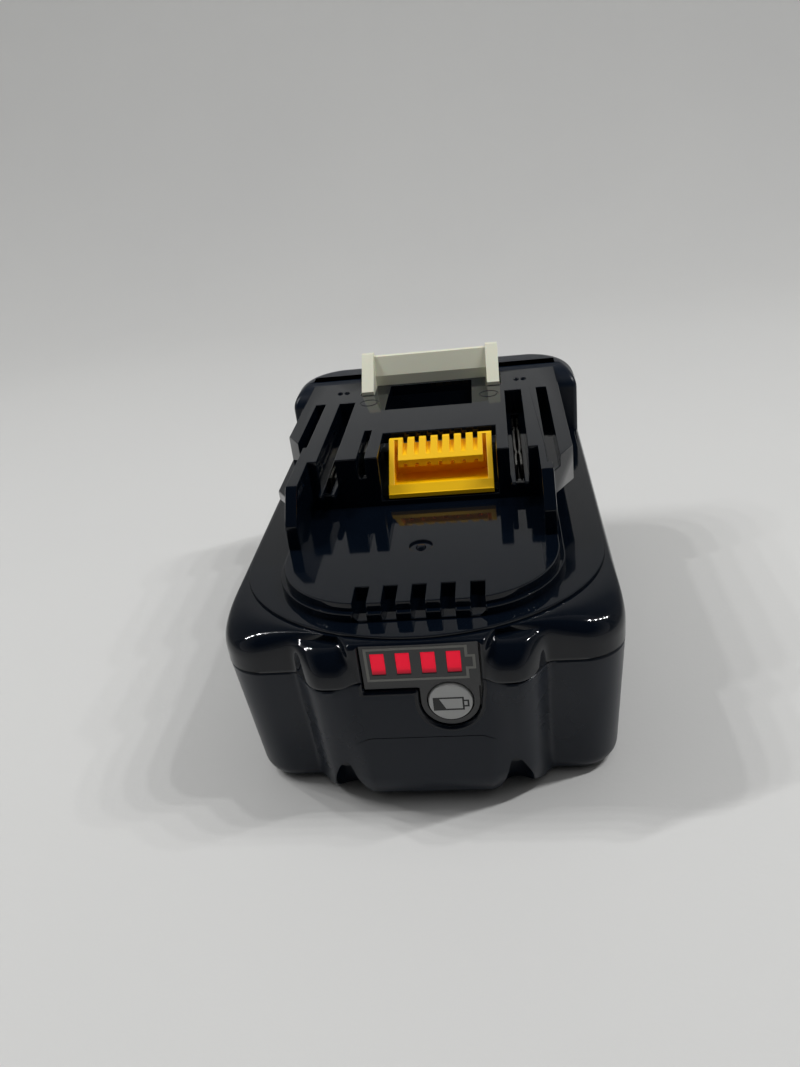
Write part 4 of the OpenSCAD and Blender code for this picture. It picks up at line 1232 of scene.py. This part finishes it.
    def deck_cuts(self) -> list[Solid]:
        """Channels, slots and openings in the deck."""
        over, past, inside = self.deck_z + PAST, self.deck_front - LAP, self.block_in_z - LAP
        cuts = []
        for side in SIDES:
            middle = side * self.channel_x
            cuts.append(slab(middle, self.channel_w / 2, (past, self.channel_rear), (self.channel_z, over)))
            slot_y = (self.deck_front - self.prong_l - LAP, self.channel_rear - self.clip_slot_in)
            cuts.append(slab(middle, self.clip_slot / 2, slot_y, (self.trough_z - LAP, self.channel_z + LAP)))
            left = self.wing_slot_x if side > 0 else -self.wing_slot_x - self.wing_slot_w
            front = self.wing_slot_step if side > 0 else self.key_front - self.wing_chamfer
            right, rear = left + self.wing_slot_w, self.wing_slot_rear
            cuts.append(block((left, front, self.wing_slot_z), (right, rear, over)))
        cuts.append(
            block(
                (self.wing_slot_x, self.wing_front - self.wing_chamfer, self.wing_slot_floor_z),
                (self.wing_slot_x + self.wing_slot_w, self.wing_slot_step + LAP, over),
            )
        )
        cuts.append(slab(self.sense_x, self.sense_slot / 2, (past, self.sense_rear), (self.sense_slot_z, over)))
        left, right, rear = self.plug_hole
        cuts.append(block((left, past, self.plug_sill_z), (right, rear, over)))
        cuts.append(slab(0, self.vent_half, (self.vent_front, self.vent_rear), (inside, over)))
        front, rear, high = self.latch_front - self.fit, self.latch_rear + self.fit, self.block_z + PAST
        cuts.append(slab(0, self.latch_half, (self.ramp_front - self.fit, rear), (inside, high)))
        plate = (self.latch_half - self.plate_t - self.fit, self.latch_half + self.fit)
        for side in SIDES:
            left, right = sorted(side * x for x in plate)
            cuts.append(block((left, front, inside), (right, rear, high)))
        return cuts

    def front_cuts(self) -> list[Solid]:
        """Vent notches in the front of the tongue."""
        y = (self.tongue_front - self.ledge - LAP, self.notch_rear)
        z = (self.platform_z + self.notch_sill, self.tongue_z + PAST)
        steps = [i - (self.notches - 1) / 2 for i in range(self.notches)]
        return [slab(step * self.notch_pitch + self.notch_mid, self.notch_w / 2, y, z) for step in steps]

    def release_cuts(self) -> list[Solid]:
        """Opening for the release button, with a shallow thumb recess."""
        half, low, high, grow = self.release_half, self.release_low, self.release_high, self.recess_margin
        radii, past = (self.recess_r,) * 4, FORM.y_end + PAST
        recess = round_outline((-half - grow, low - grow), (half + grow, high + grow), radii, self.recess_steps)
        return [
            prism(Axis.Y, box_outline((-half, low), (half, high)), INSIDE.rear - LAP, past, Skin.SATIN),
            prism(Axis.Y, recess, FORM.y_end - self.recess_t, past, Skin.SATIN),
        ]

    def build(self) -> None:
        """Make the cover and hang it on the pack."""
        cover = self.shell()
        solids = [self.platform(), *self.tongue(), *self.rail_block(), self.rear_block(), *self.pip_domes()]
        carve(cover, solids, Carving.JOIN)
        cuts = [self.hollow(), *self.deck_cuts(), *self.front_cuts(), *self.release_cuts(), *self.marks()]
        carve(cover, cuts + INSIDE.screw_holes() + GAUGE.pocket(), Carving.CUT)
        low = self.platform_z - self.edge_below
        ease_edges(cover, self.edge, lambda p: p.z > low and p.y < self.block_front)
        finish_piece(cover, "cover_shell", "pack", [CASE_ABS, GLOSS_ABS], ["upper_cover"])


@dataclass
class ChargeGauge:
    """Gauge panel with its print, the red windows and the check button."""

    line: float = 0.5
    print_left: float = -9.3
    print_right: float = 9.0
    print_low: float = 31.3
    print_high: float = 38.5
    nub: tuple[float, float, float] = (10.3, 33.35, 36.45)
    film: float = 0.03
    lens_edge: float = 0.15
    window_edge: float = 0.1
    button_edge: float = 0.45
    button_y: float = -55.15
    icon_line: float = 0.32
    icon_body: tuple[Flat, Flat] = ((-3.15, -1.75), (2.45, 1.15))
    icon_nub: tuple[Flat, Flat] = ((2.13, -1.05), (3.35, 0.5))
    icon_level: Flat = (-0.8, -2.1)

    def battery_outline(self, inset: float) -> list[Flat]:
        """Outline of a battery picture, drawn in by an inset."""
        left, right = self.print_left + inset, self.print_right - inset
        low, high = self.print_low + inset, self.print_high - inset
        tip, nub_low, nub_high = self.nub[0] - inset, self.nub[1] + inset, self.nub[2] - inset
        return [
            (left, low), (right, low), (right, nub_low), (tip, nub_low), (tip, nub_high), (right, nub_high),
            (right, high), (left, high),
        ]

    def build(self) -> None:
        """Dress the gauge's nodes and print the panel."""
        for name, finish, width in (
            ("gauge_lens", PANEL_PC, self.lens_edge),
            ("led_windows", WINDOW_PMMA, self.window_edge),
            ("check_button", BUTTON_LACQUER, self.button_edge),
        ):
            dress(name, finish)
            soften_node(name, width)
        face = GAUGE.face_y
        outer = prism(Axis.Y, self.battery_outline(0), face - self.film, face + self.film)
        inner = prism(Axis.Y, self.battery_outline(self.line), face - PAST, face + PAST)
        carve(outer, [inner], Carving.CUT)
        finish_piece(outer, "gauge_print", "pack", [GREY_INK, GREY_INK])
        self.button_print()

    def button_print(self) -> None:
        """Print a part-filled battery picture on the check button."""
        x, z = GAUGE.button
        low_y, high_y = self.button_y - self.film, self.button_y + self.film
        t = self.icon_line

        def frame_of(corners: tuple[Flat, Flat], inset: float) -> list[Flat]:
            """Outline of one box of the picture, drawn in by an inset."""
            (left, low), (right, high) = corners
            return box_outline((x + left + inset, z + low + inset), (x + right - inset, z + high - inset))

        picture = prism(Axis.Y, frame_of(self.icon_body, 0), low_y, high_y)
        carve(picture, [prism(Axis.Y, frame_of(self.icon_nub, 0), low_y, high_y)], Carving.JOIN)
        boxes = (self.icon_body, self.icon_nub)
        holes = [prism(Axis.Y, frame_of(box, t), low_y - PAST, high_y + PAST) for box in boxes]
        carve(picture, holes, Carving.CUT)
        (left, low), (_, high) = self.icon_body
        level = [
            (x + left + t / 2, z + low + t / 2), (x + self.icon_level[0], z + low + t / 2),
            (x + self.icon_level[1], z + high - t / 2), (x + left + t / 2, z + high - t / 2),
        ]
        carve(picture, [prism(Axis.Y, level, low_y, high_y)], Carving.JOIN)
        finish_piece(picture, "button_print", "check", [BLACK_INK, BLACK_INK])


@dataclass
class LatchSprings:
    """Coil springs under the two ends of the latch."""

    wire: float = 0.7
    turns: int = 8
    turn_steps: int = 28
    wire_steps: int = 10
    travel: float = 5.0

    def coil(self, low: Vector, high: Vector) -> Solid:
        """Wind the wire up through a box.

        Args:
            low: Lowest corner of the box.
            high: Highest corner of the box.

        Returns:
            The coil.
        """
        centre, thick = (low + high) / 2, self.wire / 2
        radius, rise = (high.x - low.x) / 2 - thick, high.z - low.z - self.wire
        count = self.turns * self.turn_steps
        rings = []
        for k in range(count + 1):
            turn = 2 * math.pi * k / self.turn_steps
            z = low.z + thick + rise * k / count
            section = circle((radius, z), thick, self.wire_steps)
            rings.append([(centre.x + r * math.cos(turn), centre.y + r * math.sin(turn), h) for r, h in section])
        return loft(rings)

    def build(self) -> None:
        """Wind both springs where their nodes are."""
        for side in ("left", "right"):
            node = f"latch_spring_{side}"
            low, high = (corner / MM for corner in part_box(node))
            piece = finish_piece(
                self.coil(low, high), f"spring_coil_{side}", "pack", [SPRING_STEEL], [node]
            )
            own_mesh(piece)


@dataclass
class NodeFinishes:
    """Finish and edge rounding of every frame node that stays as it is."""

    edge: float = 0.15
    finishes: dict[str, Finish] = field(
        default_factory=lambda: {
            "switch_plunger": PLUNGER_ACETAL,
            "check_switch": CHIP_EPOXY,
            "gauge_board": BOARD_FR4,
            "gauge_leds": LED_SILICONE,
            "gauge_ribbon": RIBBON_FILM,
            "latch_hook": LATCH_ACETAL,
            "release_button": CASE_ABS,
            "terminal_positive": CLIP_TIN,
            "terminal_negative": CLIP_TIN,
            "sense_terminal": CLIP_TIN,
            "signal_connector": PLUG_PBT,
            "signal_pins": PIN_GOLD,
            "control_board": BOARD_FR4,
            "board_components": CHIP_EPOXY,
            "board_screws": SCREW_ZINC,
            "board_tray": FRAME_NYLON,
            "cell_frame_left": FRAME_NYLON,
            "cell_frame_right": FRAME_NYLON,
            "insulator_left": FISH_PAPER,
            "insulator_right": FISH_PAPER,
            "lead_positive": NICKEL,
            "lead_negative": NICKEL,
            "thermistor": CHIP_EPOXY,
            "case_screws": SCREW_BLACK,
            **{f"cell_{i:02d}": CELL_PVC for i in range(1, 11)},
            **{f"bus_plate_{i}": NICKEL for i in range(1, 7)},
        }
    )
    rounded: tuple[str, ...] = ("latch_hook", "release_button", "signal_connector")

    def build(self) -> None:
        """Dress all these nodes."""
        for name, finish in self.finishes.items():
            dress(name, finish)
        for name in self.rounded:
            soften_node(name, self.edge)


@dataclass
class Studio:
    """Pale floor, soft light and the camera at the photograph's place."""

    bend_y: float = 330.0
    bend_r: float = 300.0
    wall_h: float = 1500.0
    side_room: float = 1.7
    bend_steps: int = 24
    round_steps: int = 96
    flat_front: float = 0.8
    place: Point = (17.36, -176.42, 125.98)
    azimuth: float = 8.12
    pitch: float = 27.86
    roll: float = -7.42
    focal_px: float = 859.68
    frame_px: tuple[int, int] = (800, 1067)
    sensor: float = 36.0
    clip_m: Flat = (0.01, 20.0)
    target: Point = (0.0, 0.0, 30.0)
    sky_lean: float = 0.75
    sky_span: Flat = (0.1, 1.15)
    sky_tones: tuple[str, str] = ("#101113", "#ffffff")
    seen_span: Flat = (0.35, 1.05)
    seen_tones: tuple[str, str] = ("#c2c2c4", "#26272a")
    rows: tuple[tuple[str, float, float], ...] = (("key_row", 430.0, 0.48), ("fill_row", -450.0, 0.44))
    row_lamps: int = 5
    row_pitch: float = 70.0
    row_size: float = 18.0
    row_slant: float = 32.0
    row_z: float = 620.0

    def sheet_profile(self, lift: float) -> list[Flat]:
        """Side view of the paper, from where it starts to bend outwards.

        Args:
            lift: Share of a right angle by which the paper bends up.

        Returns:
            Distances from the middle with their heights.
        """
        turn = lift * math.pi / 2
        length = self.bend_r * math.pi / 2 / self.bend_steps
        out, up = self.bend_y, 0.0
        points = [(out, up)]
        for i in range(self.bend_steps):
            angle = turn * (i + 0.5) / self.bend_steps
            out, up = out + length * math.cos(angle), up + length * math.sin(angle)
            points.append((out, up))
        return [*points, (out + self.wall_h * math.cos(turn), up + self.wall_h * math.sin(turn))]

    def floor(self) -> None:
        """Lay a pale paper sweep, flat in front and bent up into a backdrop behind and at both sides."""
        shape = bmesh.new()
        rows = []
        for i in range(self.round_steps):
            angle = 2 * math.pi * i / self.round_steps
            ahead = Vector((self.side_room * math.cos(angle), math.sin(angle), 0.0))
            profile = self.sheet_profile(smooth((math.sin(angle) + self.flat_front) / self.flat_front))
            rows.append([shape.verts.new((ahead * out + Vector((0.0, 0.0, up))) * MM) for out, up in profile])
        middle = shape.verts.new((0.0, 0.0, 0.0))
        for row, after in zip(rows, rows[1:] + rows[:1]):
            shape.faces.new((middle, row[0], after[0])).smooth = True
            for j in range(len(row) - 1):
                shape.faces.new((row[j], row[j + 1], after[j + 1], after[j])).smooth = True
        made = new_object("paper_sweep", shape)
        made.data.materials[0] = SWEEP_PAPER.material()

    def world(self) -> None:
        """Light the scene with a sky that is dim on the camera's side; what is seen of it is pale low down."""
        world = bpy.data.worlds.new("studio")
        bpy.context.scene.world = world
        world.use_nodes = True
        tree = world.node_tree
        tree.nodes.clear()
        way = add(tree, "ShaderNodeTexCoord").outputs["Generated"]
        _, depth, height = add(tree, "ShaderNodeSeparateXYZ", {0: way}).outputs
        lean = add(tree, "ShaderNodeMath", {0: depth, 1: self.sky_lean}, operation="MULTIPLY").outputs[0]
        shades = []
        for turn, (start, end), (low, high) in (
            ("ADD", self.sky_span, self.sky_tones), ("SUBTRACT", self.seen_span, self.seen_tones),
        ):
            level = add(tree, "ShaderNodeMath", {0: height, 1: lean}, operation=turn).outputs[0]
            share = add(tree, "ShaderNodeMapRange", {0: level, 1: start, 2: end}).outputs[0]
            tone = add(tree, "ShaderNodeMix", {0: share, 6: linear(low), 7: linear(high)}, data_type="RGBA")
            shade = add(tree, "ShaderNodeBackground", {"Color": tone.outputs[2], "Strength": 1.0})
            shades.append(shade.outputs[0])
        ray = add(tree, "ShaderNodeLightPath").outputs
        rays = {0: ray["Is Camera Ray"], 1: ray["Is Glossy Ray"]}
        shown = add(tree, "ShaderNodeMath", rays, operation="ADD").outputs[0]
        rays = {0: shown, 1: ray["Is Transmission Ray"]}
        shown = add(tree, "ShaderNodeMath", rays, operation="ADD", use_clamp=True).outputs[0]
        seen = add(tree, "ShaderNodeMixShader", {0: shown, 1: shades[0], 2: shades[1]})
        add(tree, "ShaderNodeOutputWorld", {"Surface": seen.outputs[0]})

    def lamp(self, name: str, place: Point, watts: float) -> None:
        """Hang a square soft lamp that points at the pack.

        Args:
            name: Name of the lamp.
            place: Where it hangs.
            watts: Its power.
        """
        data = bpy.data.lights.new(name, "AREA")
        data.size, data.energy = self.row_size * MM, watts
        made = bpy.data.objects.new(name, data)
        made.location = Vector(place) * MM
        made.rotation_euler = (Vector(self.target) - Vector(place)).to_track_quat("-Z", "Y").to_euler()
        bpy.context.scene.collection.objects.link(made)

    def camera(self) -> None:
        """Put the camera where the photograph was taken."""
        az, pitch, roll = (math.radians(a) for a in (self.azimuth, self.pitch, self.roll))
        ahead = Vector((-math.sin(az) * math.cos(pitch), math.cos(az) * math.cos(pitch), -math.sin(pitch)))
        right = Vector((math.cos(az), math.sin(az), 0.0))
        up = right.cross(ahead)
        across = math.cos(roll) * right + math.sin(roll) * up
        above = math.cos(roll) * up - math.sin(roll) * right
        data = bpy.data.cameras.new("camera")
        data.sensor_width = self.sensor
        data.lens = self.focal_px / max(self.frame_px) * self.sensor
        data.clip_start, data.clip_end = self.clip_m
        made = bpy.data.objects.new("camera", data)
        turn = Matrix((across, above, -ahead)).transposed().to_4x4()
        made.matrix_world = Matrix.Translation(Vector(self.place) * MM) @ turn
        bpy.context.scene.collection.objects.link(made)
        bpy.context.scene.camera = made

    def build(self) -> None:
        """Set up the whole studio."""
        self.floor()
        self.world()
        for name, x, watts in self.rows:
            for i in range(self.row_lamps):
                step = i - (self.row_lamps - 1) / 2
                self.lamp(name, (x + self.row_pitch * step, self.row_slant * step, self.row_z), watts)
        self.camera()
        bpy.context.scene.view_settings.view_transform = "Standard"


def main() -> None:
    """Build all pieces in order."""
    logging.basicConfig(level=logging.INFO, format="%(message)s")
    Studio().build()
    LowerCase().build()
    UpperCover().build()
    ChargeGauge().build()
    LatchSprings().build()
    NodeFinishes().build()


if __name__ == "__main__":
    main()
